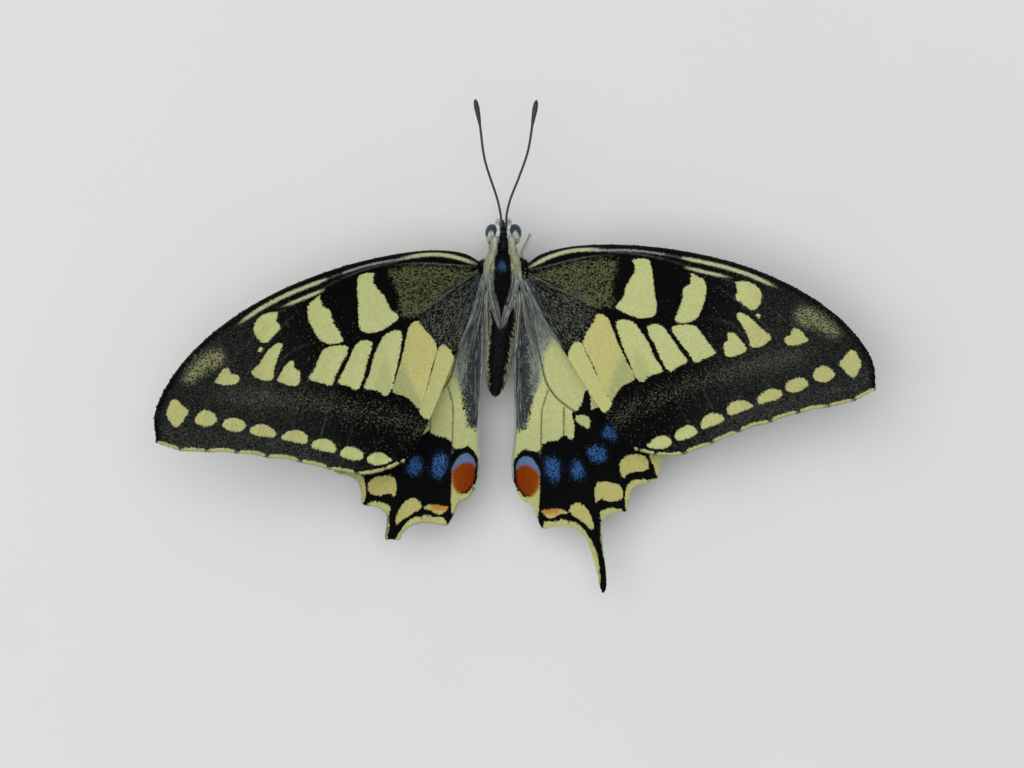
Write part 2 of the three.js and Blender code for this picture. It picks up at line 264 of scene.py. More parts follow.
def node(tree, kind, settings=None, inputs=None, output=0):
    """Any shader node: its settings first, then the values or wires of its sockets."""
    made = tree.nodes.new(kind)
    for key, value in (settings or {}).items():
        setattr(made, key, value)
    for key, value in (inputs or {}).items():
        if isinstance(value, Wire):
            tree.links.new(value.socket, made.inputs[key])
        else:
            made.inputs[key].default_value = value
    return Wire(tree, made.outputs[output])


def mix(factor, first, second):
    """A colour between two colours."""
    sockets = {0: factor, 6: first, 7: second}
    return node(factor.tree, "ShaderNodeMix", {"data_type": "RGBA"}, sockets, 2)


def value_of(tree, name):
    """A named value that the mesh holds at its points."""
    return node(tree, "ShaderNodeAttribute", {"attribute_name": name}, output=2)


def noise(tree, scale, detail=3.0):
    """A soft random cloud, with about `scale` patches to the metre."""
    place = node(tree, "ShaderNodeTexCoord", output=3)
    return node(tree, "ShaderNodeTexNoise", None, {"Vector": place, "Scale": scale, "Detail": detail})


def bump(height, strength, distance):
    """A surface normal that follows a height."""
    inputs = {"Height": height, "Strength": strength, "Distance": distance}
    return node(height.tree, "ShaderNodeBump", None, inputs)


def finish_of(name, paint, **fixed):
    """A material: `paint` gives the varying sockets and `fixed` the even ones."""
    material = bpy.data.materials.new(name)
    material.use_nodes = True
    tree = material.node_tree
    shader = tree.nodes["Principled BSDF"]
    for key, value in fixed.items():
        shader.inputs[key.replace("_", " ")].default_value = value
    for key, wire in paint(tree).items():
        tree.links.new(wire.socket, shader.inputs[key])
    return material


BLACK = (0.0035, 0.0035, 0.0042, 1)
CREAM = (0.76, 0.77, 0.48, 1)
GREY = (0.72, 0.75, 0.68, 1)
# The next colour is that of the painted highlight on the thorax.
HIGHLIGHT_BLUE = (0.045, 0.14, 0.33, 1)


def body_colour(tree):
    base = mix(value_of(tree, "cream"), BLACK, CREAM)
    base = mix(value_of(tree, "grey"), base, GREY)
    # The blue laid over last is the painted highlight on the thorax.
    return mix(value_of(tree, "blue"), base, HIGHLIGHT_BLUE)


def skin_paint(tree):
    shade = noise(tree, 2500)
    gloss = value_of(tree, "blue")
    return {"Base Color": mix(shade * 0.6, body_colour(tree), BLACK), "Roughness": 0.62 - gloss * 0.32,
            "Normal": bump(noise(tree, 9000, 4), 0.4, 2e-5)}


def make(name, verts, faces, material, slot, layers=None, uv=None, smooth=True):
    """A piece of triangles in frame metres, with named values at its points."""
    mesh = bpy.data.meshes.new(name)
    faces = np.asarray(faces, np.int32)
    mesh.vertices.add(len(verts))
    mesh.vertices.foreach_set("co", np.asarray(verts, np.float32).ravel())
    mesh.loops.add(faces.size)
    mesh.loops.foreach_set("vertex_index", faces.ravel())
    mesh.polygons.add(len(faces))
    mesh.polygons.foreach_set("loop_start", np.arange(0, faces.size, faces.shape[1], dtype=np.int32))
    mesh.update(calc_edges=True)
    for key, values in (layers or {}).items():
        layer = mesh.attributes.new(key, "FLOAT", "POINT")
        layer.data.foreach_set("value", np.asarray(values, np.float32))
    if uv is not None:
        chart = mesh.uv_layers.new(name="OFBake")
        chart.data.foreach_set("uv", np.asarray(uv, np.float32)[faces.ravel()].ravel())
    mesh.polygons.foreach_set("use_smooth", np.full(len(faces), smooth))
    mesh.materials.append(material)
    piece = bpy.data.objects.new(name, mesh)
    bpy.context.scene.collection.objects.link(piece)
    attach(piece, "root")
    return piece


def apply_to(piece, *modifiers):
    """Makes the result of modifiers, each given by type and settings, the piece's own mesh."""
    for kind, settings in modifiers:
        modifier = piece.modifiers.new(kind, kind)
        for key, value in settings.items():
            setattr(modifier, key, value)
    shaped = bpy.data.meshes.new_from_object(piece.evaluated_get(bpy.context.evaluated_depsgraph_get()))
    piece.modifiers.clear()
    piece.data = shaped


def fused(shapes, voxel):
    """Overlapping closed forms grown together, as the points and triangles of one smooth skin."""
    whole = make("body", *joined(shapes), body_skin, "body_hair")
    apply_to(whole, ("REMESH", {"mode": "VOXEL", "voxel_size": voxel}),
             ("SMOOTH", {"factor": 0.5, "iterations": 5}), ("TRIANGULATE", {}))
    points = np.empty(len(whole.data.vertices) * 3, np.float32)
    whole.data.vertices.foreach_get("co", points)
    faces = np.array([tuple(face.vertices) for face in whole.data.polygons])
    bpy.data.objects.remove(whole)
    return points.reshape(-1, 3).astype(float), faces


body_skin = finish_of("body_skin", skin_paint, Specular_IOR_Level=0.3)
trunk_points, trunk_faces = fused(trunk, voxel=0.085)

FLOOR_GAP = 0.12
LEG_PATHS = {
    "front": [(0.9, 1.3, 4.0), (2.3, 0.5, 3.4), (2.0, 1.9, 1.1), (2.9, 3.8, FLOOR_GAP)],
    "middle": [(1.2, -1.0, 3.4), (4.8, 0.2, 4.8), (7.2, -1.0, 1.2), (9.6, -2.4, FLOOR_GAP)],
    "hind": [(1.2, -3.4, 3.5), (4.6, -6.4, 5.1), (6.0, -10.6, 1.4), (7.0, -15.2, FLOOR_GAP)],
}
LEFT_FRONT = [(0.9, 1.3, 4.0), (2.2, 0.4, 3.4), (1.5, 1.5, 1.1), (1.7, 3.3, FLOOR_GAP)]
FEMUR_RADII = [(0, 0.16), (0.1, 0.24), (0.5, 0.23), (0.92, 0.16), (1, 0.1)]
TIBIA_RADII = [(0, 0.08), (0.08, 0.13), (0.6, 0.11), (0.95, 0.12), (1, 0.07)]
LIMB_RINGS = 16
TARSUS = {"joints": 5, "radius": 0.06, "knuckle": 0.02, "rings": 45}
LEG_TINT = {"cream": 0.55, "grey": 0.5, "blue": 0}

legs, leg_parts, toes = [], [], []
for pair, path in LEG_PATHS.items():
    for letter, side in SIDES.items():
        joints = LEFT_FRONT if (pair, letter) == ("front", "L") else path
        hip, knee, ankle, toe = mirrored(joints, side)
        across = np.cross(unit((toe - hip) * (1, 1, 0)), (0, 0, 1))
        landing = ankle + 0.5 * (toe - ankle)
        landing[2] = toe[2] + 0.02
        foot = spaced(catmull([ankle, landing, toe], 10), TARSUS["rings"])
        waves = np.abs(np.sin(np.linspace(0, TARSUS["joints"], TARSUS["rings"]) * np.pi))
        share = np.linspace(0, 1, LIMB_RINGS)
        for part, line, radii in (
            ("femur", np.linspace(hip, knee, LIMB_RINGS), profile(share, *FEMUR_RADII)),
            ("tibia", np.linspace(knee, ankle, LIMB_RINGS), profile(share, *TIBIA_RADII)),
            ("tarsus", foot, waves**0.35 * TARSUS["knuckle"] + TARSUS["radius"]),
        ):
            legs.append(loft(line, radii, across=across, sides=12))
            leg_parts.append((f"leg_{pair}_{letter}_{part}", part, line, radii))
        toes.append((toe, unit(toe - landing), across))
leg_points, leg_faces = joined(legs)
leg_points[:, 2] = np.maximum(leg_points[:, 2], 0)
points, faces = joined([(trunk_points, trunk_faces), (leg_points, leg_faces)])
on_leg = np.arange(len(points)) >= len(trunk_points)
layers = {key: np.where(on_leg, LEG_TINT[key], share) for key, share in body_marks(points).items()}
skin = make("body", in_frame(points), faces, body_skin, "body_hair", layers)
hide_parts("head", "thorax", "palp_L", "palp_R", "abdomen_front", "abdomen_middle", "abdomen_tip",
            *(name for name, *rest in leg_parts))

# ---- claws ----
# Each foot ends in two curved claws of hard brown cuticle, which hook on to leaf and bark.  They are
# separate horny pieces that grow from the last joint of the foot.
CLAW_RADII = np.linspace(0.035, 0.008, 9)


def claw_paint(tree):
    return {"Base Color": mix(noise(tree, 6000), (0.03, 0.016, 0.008, 1), (0.09, 0.05, 0.02, 1))}


claws = []
for toe, ahead, across in toes:
    for side in SIDES.values():
        hook = [toe, toe + 0.13 * ahead + side * 0.09 * across + (0, 0, 0.03),
                toe + 0.26 * ahead + side * 0.12 * across + (0, 0, -0.09)]
        claws.append(loft(spaced(catmull(hook, 4), len(CLAW_RADII)), CLAW_RADII, across=across, sides=8))
verts, faces = joined(claws)
verts[:, 2] = np.maximum(verts[:, 2], 0.005)
make("claws", in_frame(verts), faces, finish_of("claw", claw_paint, Roughness=0.35), "cuticle")

# ---- eyes ----
# Two bulging compound eyes of thousands of tiny six-sided lenses, dark and glossy, set deep in the
# sides of the head.
EYE_CENTRE = (1.25, 3.82, 6.9)
EYE_HALF = (0.76, 0.97, 1.05)
LENSES = 24000.0


def eye_paint(tree):
    place = node(tree, "ShaderNodeTexCoord", output=3)
    lens = node(tree, "ShaderNodeTexVoronoi", None, {"Vector": place, "Scale": LENSES, "Randomness": 0.15})
    colour = mix(noise(tree, 1800, 2), (0.010, 0.013, 0.018, 1), (0.036, 0.046, 0.060, 1))
    return {"Base Color": colour, "Normal": bump(1 - lens, 0.35, 8e-6)}


eye_glaze = finish_of("eye", eye_paint, Roughness=0.34, Specular_IOR_Level=0.35)
for letter, side in SIDES.items():
    verts, faces = egg_shape(mirrored(EYE_CENTRE, side), EYE_HALF, steps=64)
    eye = make(f"eye_{letter}_glazed", in_frame(verts), faces, eye_glaze, "eye")
    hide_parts(f"eye_{letter}")

# ---- antennae ----
# Two slender black feelers of some forty short rings, rooted between the eyes, which end in a
# slightly bent, flattened club.
FEELERS = {
    "R": [(0.22, 4.4, 7.55), (0.31, 5.0, 7.75), (0.38, 5.9, 7.95), (0.75, 7.4, 8.25), (1.7, 9.8, 8.7),
          (2.7, 12.7, 9.1), (3.25, 16.0, 9.4), (3.65, 18.3, 9.4)],
    "L": [(-0.16, 4.4, 7.55), (-0.21, 5.0, 7.75), (-0.32, 5.9, 7.95), (-0.65, 7.4, 8.2),
          (-2.05, 11.8, 8.9), (-2.6, 15.7, 9.3), (-3.1, 18.4, 9.4)],
}
FEELER_RADII = [(0, 0.17), (0.012, 0.2), (0.03, 0.13), (0.8, 0.14), (0.86, 0.24), (0.93, 0.315),
                (0.98, 0.25), (1, 0.06)]
RINGS = 42


def feeler_paint(tree):
    colour = mix(noise(tree, 5000), (0.006, 0.006, 0.007, 1), (0.028, 0.024, 0.022, 1))
    return {"Base Color": colour, "Normal": bump(noise(tree, 22000), 0.3, 6e-6)}


feeler_skin = finish_of("feeler", feeler_paint, Roughness=0.5)
for letter, path in FEELERS.items():
    line = spaced(catmull(path, 24), RINGS * 8 + 1)
    share = np.linspace(0, 1, len(line))
    radius = profile(share, *FEELER_RADII) * (1 - 0.1 * np.abs(np.cos(share * RINGS * np.pi)) ** 6)
    verts, faces = loft(line, radius, sides=16)
    feeler = make(f"antenna_{letter}", in_frame(verts), faces, feeler_skin, "cuticle")
    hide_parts(f"antenna_shaft_{letter}", f"antenna_club_{letter}")

# ---- tongue ----
# The sucking tongue, two half tubes zipped into one.  It leaves the head between the palps and coils
# up below them like a watch spring.
COIL_TURNS = 2.6
COIL_CENTRE = (4.55, 4.0)
COIL_OUTER, COIL_INNER = 0.8, 0.14
TONGUE_ROOT = [(0, 3.85, 5.95), (0, 3.92, 5.35), (0, 4.15, 4.95)]
TONGUE_RADII = [(0, 0.13), (1, 0.05)]


def tongue_paint(tree):
    return {"Base Color": mix(noise(tree, 4000), (0.012, 0.008, 0.006, 1), (0.05, 0.03, 0.016, 1))}


turn = np.linspace(0, COIL_TURNS * 2 * np.pi, 180)
reach = profile(turn, (0, COIL_OUTER), (turn[-1], COIL_INNER))
coil = np.stack([0 * turn, COIL_CENTRE[0] + reach * np.sin(turn), COIL_CENTRE[1] + reach * np.cos(turn)],
                axis=1)
stem = catmull([*TONGUE_ROOT, coil[0]], 8)[:-1]
line = spaced(np.vstack([stem, coil]), 220)
verts, faces = loft(line, profile(np.linspace(0, 1, len(line)), *TONGUE_RADII), sides=14)
tongue = make("tongue", in_frame(verts), faces, finish_of("tongue", tongue_paint, Roughness=0.4), "cuticle")
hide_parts("proboscis")

# ---- short body hair ----
# Fine flat hairs and narrow scales root in the skin of head, thorax and abdomen, and lie back along
# it.  They are shortest on the face, longer on the shoulders, and stand out along the abdomen.
NECK, WAIST = 2.5, -5.2
HAIR_LENGTH = [(-14, 0.3), (-12, 0.5), (-6, 0.55), (-5, 0.7), (-1, 0.6), (1.8, 0.6), (2.6, 0.4),
               (3.2, 0.24), (5, 0.28)]
PATCH_RADIUS = 0.0015


def sown(count, rear, front, rng):
    """Random places on the trunk from `rear` to `front`, with the skin's normals there."""
    corners = trunk_points[trunk_faces]
    cross = np.cross(corners[:, 1] - corners[:, 0], corners[:, 2] - corners[:, 0])
    normals = np.zeros_like(trunk_points)
    for k in range(3):
        np.add.at(normals, trunk_faces[:, k], cross)
    y = corners.mean(1)[:, 1]
    weight = np.linalg.norm(cross, axis=1) * ((y > rear) & (y <= front))
    pick = rng.choice(len(trunk_faces), count, p=weight / weight.sum())
    a, b = rng.random((2, count))
    a, b = np.where(a + b > 1, 1 - a, a), np.where(a + b > 1, 1 - b, b)
    part = np.stack([1 - a - b, a, b], 1)[..., None]
    return (corners[pick] * part).sum(1), unit((normals[trunk_faces[pick]] * part).sum(1))


def strands(lines, up, width):
    """Closed, three-sided, tapering hairs along centre lines shaped (hairs, points, 3), with the
    offsets of their small patches on the chart."""
    count, length = lines.shape[:2]
    along = unit(np.gradient(lines, axis=1))
    across = unit(np.cross(along, np.broadcast_to(up, (count, 3))[:, None]))
    over = np.cross(across, along)
    t = np.arange(length - 1) / (length - 1)
    half = (width[:, None] / 2 * (1 - 0.55 * t**2))[..., None, None]
    turn = np.pi / 2 - np.arange(3) * 2 * np.pi / 3
    ring = (lines[:, :-1, None] + half * (across[:, :-1, None] * np.cos(turn)[:, None]
                                          + over[:, :-1, None] * np.sin(turn)[:, None]))
    verts = np.concatenate([ring.reshape(count, -1, 3), lines[:, -1:]], axis=1)
    pattern = [(0, 2, 1)]
    for k in range(length - 2):
        for j in range(3):
            a, b = 3 * k + j, 3 * k + (j + 1) % 3
            pattern += [(a, b, b + 3), (a, b + 3, a + 3)]
    last = 3 * (length - 2)
    pattern += [(last + j, last + (j + 1) % 3, last + 3) for j in range(3)]
    faces = (np.arange(count)[:, None, None] * verts.shape[1] + np.array(pattern)).reshape(-1, 3)
    spread = np.concatenate([np.repeat(1 - t, 3), [0]])[:, None]
    spot = np.vstack([np.stack([np.cos(turn), np.sin(turn)], 1)] * (length - 1) + [np.zeros((1, 2))])
    return verts.reshape(-1, 3), faces, spot * spread * PATCH_RADIUS


def charted(places, spot):
    """Each tuft's small patch at its root's place on a chart that fills the square."""
    low, high = places.min(0), places.max(0)
    centre = 0.01 + 0.98 * (places - low) / (high - low)
    return (centre[:, None] + spot).reshape(-1, 2)


def coat(name, lines, up, width, layers, places, material, slot):
    """One piece of hairs, with a value of each layer and a place on the chart for each hair."""
    verts, faces, spot = strands(lines, up, width)
    layers = {key: np.repeat(values, len(spot)) for key, values in layers.items()}
    make(name, verts, faces, material, slot, layers, charted(places, spot))


def tinted(shares, rng):
    """Gives each hair one colour, drawn by the shares at its root, and paler where the share is low."""
    draw, floor, out = rng.random(len(shares["cream"])), 0, {}
    # On the body the blue share is the painted highlight on the thorax, which the hairs there take too.
    for key in ("blue", "cream", "grey"):
        chance = np.minimum(1.6 * shares[key], 1)
        taken = (draw >= floor) & (draw < floor + chance)
        out[key] = np.where(taken, shares[key] / np.maximum(chance, 1e-6), 0)
        floor = floor + chance
    out["grain"] = rng.random(len(draw))
    return out


def hair_paint(tree):
    grain = value_of(tree, "grain")
    colour = mix(grain * grain * 0.32, body_colour(tree), BLACK)
    return {"Base Color": colour, "Roughness": 0.5 + grain * 0.2}


def unrolled(p):
    """The skin unrolled: the angle round the body's long axis, and the place along it."""
    bend, level = axis_at(p[:, 1])
    return np.stack([np.arctan2(p[:, 0] - bend, p[:, 2] - level), p[:, 1]], 1)


def short_coat(name, count, rear, front, seed):
    """Hairs that lie back along the skin, and forward on the face, between two places on the body."""
    rng = np.random.default_rng(seed)
    root, up = sown(count, rear, front, rng)
    x, y, z = root.T
    away = np.abs(unrolled(root)[:, 0])
    length = profile(y, *HAIR_LENGTH) * np.where((y < -5) & (away < 0.7), 0.6, 1)
    length = length * rng.uniform(0.7, 1.2, count)
    outward = np.sign(x) * np.where(y > 2.6, 0.25, 0.08)
    forward = np.where((y > 3.9) & (np.abs(x) < 1), 1.0, -1.0)
    ahead = np.stack([outward, forward, 0 * y], 1) + rng.normal(0, 0.12, (count, 3))
    ahead = unit(ahead - up * (ahead * up).sum(1)[:, None])
    rise = np.where((away > 0.6) & (y < -1), 0.75, 0.3) * rng.uniform(0.7, 1.3, count)
    t = np.array([0, 0.5, 1.0])
    lines = (root[:, None] - up[:, None] * 0.03 + (ahead * length[:, None])[:, None] * t[:, None]
             + (up * (length * rise)[:, None])[:, None] * (1.6 * t - 0.6 * t**2)[:, None])
    width = rng.uniform(0.05, 0.085, count) / 1000
    layers = tinted(body_marks(root), rng)
    coat(name, in_frame(lines), up, width, layers, unrolled(root), hair_finish, "body_hair")


hair_finish = finish_of("body_hair", hair_paint, Specular_IOR_Level=0.12)
short_coat("hair_of_head", 5200, NECK, np.inf, seed=51)
short_coat("hair_of_thorax", 11500, WAIST, NECK, seed=52)
short_coat("hair_of_abdomen", 9500, -np.inf, WAIST, seed=53)

# ---- leg scales ----
# The legs are clad in small flat scales that point towards the foot, pale yellow mixed with grey all
# the way from the thighs to the toes.
LEG_SCALES = {"femur": (420, 0.85), "tibia": (420, 0.85), "tarsus": (200, 0.8)}
UP = (0.0, 0.0, 1.0)


def sampled(rows, share):
    """Rows of values read at shares, 0 to 1, of the way from the first row to the last."""
    steps = np.linspace(0, 1, len(rows))
    return np.stack([np.interp(share, steps, column) for column in rows.T], -1)


rng = np.random.default_rng(54)
leg_lines, leg_out, leg_places, leg_pale = [], [], [], []
for number, (name, part, line, radii) in enumerate(leg_parts):
    count, pale = LEG_SCALES[part]
    share = rng.uniform(0.02, 0.97, count)
    along = unit(sampled(np.gradient(line, axis=0), share))
    angle = rng.uniform(0, 2 * np.pi, count)
    wide = unit(np.cross(along, UP))
    out = wide * np.cos(angle)[:, None] + np.cross(wide, along) * np.sin(angle)[:, None]
    start = sampled(line, share) + out * (sampled(radii[:, None], share) - 0.015)
    reach = along * rng.uniform(0.12, 0.2, count)[:, None]
    row = np.stack([start, start + reach + out * 0.035], 1)
    row[:, :, 2] = np.maximum(row[:, :, 2], 0.045)
    leg_lines.append(row)
    leg_out.append(out)
    leg_places.append(np.stack([number + angle / (2 * np.pi), share], 1))
    leg_pale.append(np.full(count, pale))
lines, out, places, pale = (np.concatenate(v) for v in (leg_lines, leg_out, leg_places, leg_pale))
width = rng.uniform(5e-5, 7e-5, len(out))
layers = tinted({"cream": pale * 0.6, "grey": pale * 0.4, "blue": 0 * pale}, rng)
coat("scales_of_legs", in_frame(lines), out, width, layers, places, hair_finish, "leg")

# ---- forewings ----
# A forewing is a thin clear membrane on stiff hollow veins, strongest along its front edge, and is
# covered on both faces by overlapping scales like roof tiles.  Each scale has one colour, and the
# markings are where scales of a colour lie together.
WINGS = {
    "forewing_R": {"base": (2.5, 0, 8.2), "side": 1, "sweep": 19.35, "rise": 4, "pitch": 4},
    "forewing_L": {"base": (-2.65, 0.43, 8.2), "side": -1, "sweep": 29.35, "rise": 9.5, "pitch": 4},
    "hindwing_R": {"base": (2.08, -2.12, 7.2), "side": 1, "sweep": 0, "rise": 0, "pitch": 3},
    "hindwing_L": {"base": (-2.76, -1.85, 7.2), "side": -1, "sweep": -2.5, "rise": 5, "pitch": 3},
}


def hinged(points, pose):
    """Points of a right wing's own plane in the frame, mirrored for a left wing."""
    side = pose["side"]
    turned = (Matrix.Rotation(math.radians(-side * pose["sweep"]), 3, "Z")
              @ Matrix.Rotation(math.radians(-side * pose["rise"]), 3, "Y")
              @ Matrix.Rotation(math.radians(pose["pitch"]), 3, "X"))
    flat = mirrored(points, side).reshape(-1, 3)
    return in_frame(flat @ np.array(turned).T + pose["base"]).reshape(points.shape)


def most(*shares):
    """The largest of several shares at each point."""
    return functools.reduce(np.maximum, shares)


def to_line(x, y, line):
    """Distance from points to a line of straight spans."""
    best = np.full(x.shape, 1e9)
    for (ax, ay), (bx, by) in zip(line[:-1], line[1:]):
        dx, dy = bx - ax, by - ay
        t = np.clip(((x - ax) * dx + (y - ay) * dy) / (dx * dx + dy * dy + 1e-12), 0, 1)
        best = np.minimum(best, (x - ax - t * dx) ** 2 + (y - ay - t * dy) ** 2)
    return np.sqrt(best)


def to_loop(x, y, loop):
    """Signed distance to a closed loop, positive inside it."""
    ring = np.vstack([loop, loop[:1]])
    inside = np.zeros(x.shape, bool)
    for (ax, ay), (bx, by) in zip(ring[:-1], ring[1:]):
        if ay != by:
            inside ^= ((ay > y) != (by > y)) & (x < (bx - ax) * (y - ay) / (by - ay) + ax)
    return np.where(inside, 1, -1) * to_line(x, y, ring)


def patch(x, y, loop, soft=0.09, reach=1.0):
    """How far each point is in a rounded patch, from 0 to 1."""
    ring = catmull(loop, 4, closed=True)
    out = np.zeros(x.shape)
    near = ((x > ring[:, 0].min() - reach) & (x < ring[:, 0].max() + reach)
            & (y > ring[:, 1].min() - reach) & (y < ring[:, 1].max() + reach))
    out[near] = smoothstep(-soft, soft, to_loop(x[near], y[near], ring))
    return out


def streak(x, y, line, half, soft=0.08):
    """How far each point is in a streak along a line, whose half width may change along it."""
    return smoothstep(half + soft, half - soft, to_line(x, y, catmull(line, 8)))


FORE_LENGTH = 40.6
FORE_RISE, FORE_DROOP = 0.9, 0.0035


def fore_arch(x, y):
    """The forewing's arch from base to tip, with its rear edge drooping."""
    along = np.clip(x / FORE_LENGTH, 0, 1)
    return FORE_RISE * 4 * along * (1 - along) - FORE_DROOP * np.minimum(y, 0) ** 2


FORE = {
    "costa": [(-0.05, 0.1), (0.8, 1.5), (3.2, 3.3), (7.5, 5.2), (15, 7.2), (23.5, 8), (31, 7.1),
              (36, 5.2), (39.3, 2.7), (40.6, 0)],
    "outer": [(40.6, 0), (39.5, -1.2), (38.7, -2), (37.3, -2.9), (36.2, -3.6), (34.8, -4.3), (33.4, -5.3),
              (32, -6.2), (30.8, -7.3), (29.3, -8.2), (27.9, -9.5), (26.6, -10.6), (25.5, -11.7),
              (24.2, -12.7), (22.9, -13.8), (20.5, -14.7), (18, -15)],
    "inner": [(0.45, -1.7), (3.9, -5.1), (7.3, -7.6), (12.8, -12), (16, -14.2), (18, -15)],
    "corners": [],
    "veins": [
        [(0.6, -0.1), (7.6, 4.0), (13.6, 5.4), (19.6, 5.1), (24.6, 3.6), (28.4, 1.7), (34.7, -4.3)],
        [(0.6, -0.7), (9.1, -1.6), (11.5, -1.7), (13.7, -1.4), (19.0, 0.1)],
        [(10.3, -1.6), (15.6, -7.7), (21.5, -14.0)],
        [(13.7, -1.4), (18.0, -5.8), (24.5, -12.3)],
        [(16.7, -0.7), (20.4, -3.9), (27.0, -10.4)],
        [(19.4, 0.3), (23.0, -2.1), (29.6, -8.3)],
        [(20.1, 1.1), (23.5, 1.5), (26.4, -0.4), (32.2, -6.1)],
        [(24.6, 5.3), (32.3, 2.3), (37.1, -2.7)],
        [(0.8, -1.2), (8.6, -5.9), (13.8, -10.9), (19.0, -14.7)],
        [(19.4, 4.9), (19.9, 3.4), (20.1, 1.1), (19.4, 0.3)],
    ],
    "arch": fore_arch, "rows": 120, "steps": 7,
}
VEIN_RIDGE = {"height": 0.06, "half": 0.13}
CELL_SAG = 0.11


def relief(shape, x, y):
    """The height of the wing's surface: raised veins, and cells that sag between them."""
    ridge_height = np.zeros(x.shape)
    nearest = np.full(x.shape, 9.0)
    for vein in shape["veins"]:
        away = to_line(x, y, catmull(vein, 5))
        rise = VEIN_RIDGE["height"] * np.exp(-((away / VEIN_RIDGE["half"]) ** 2))
        ridge_height = np.maximum(ridge_height, rise)
        nearest = np.minimum(nearest, away)
    return shape["arch"](x, y) + ridge_height - CELL_SAG * smoothstep(0, 1.4, nearest)


def rim_of(shape, steps):
    """The outer margin from the inner side to the front, smooth between its sharp corners."""
    outer = shape["outer"][::-1]
    cuts = [0, *shape["corners"], len(outer) - 1]
    runs = [catmull(outer[a:b + 1], steps)[:-1] for a, b in zip(cuts[:-1], cuts[1:])]
    return np.vstack([*runs, [outer[-1]]])


def blade_grid(shape):
    """Points that fill the wing's four edges, row by row from the base to the outer margin."""
    rim = rim_of(shape, shape["steps"])
    front = spaced(catmull(shape["costa"], 16), shape["rows"] + 1)
    back = spaced(catmull(shape["inner"], 16), shape["rows"] + 1)
    u = np.linspace(0, 1, shape["rows"] + 1)[:, None, None]
    v = np.linspace(0, 1, len(rim))[None, :, None]
    return (back[:, None] * (1 - v) + front[:, None] * v + (back[0] * (1 - v) + front[0] * v) * (1 - u)
            + rim[None] * u - back[0] * (1 - u) * (1 - v) - front[0] * (1 - u) * v
            - back[-1] * u * (1 - v) - front[-1] * u * v)


def outline_of(shape):
    """The wing's whole edge as one closed loop."""
    front, back = catmull(shape["costa"], 8), catmull(shape["inner"], 8)
    return np.vstack([back, rim_of(shape, 6)[1:-1], front[::-1]])


def grid_faces(rows, columns):
    """The triangles between neighbouring rows of points."""
    a = (np.arange(rows - 1)[:, None] * columns + np.arange(columns - 1)).ravel()
    return np.vstack([np.stack([a, a + columns, a + columns + 1], 1),
                      np.stack([a, a + columns + 1, a + 1], 1)])


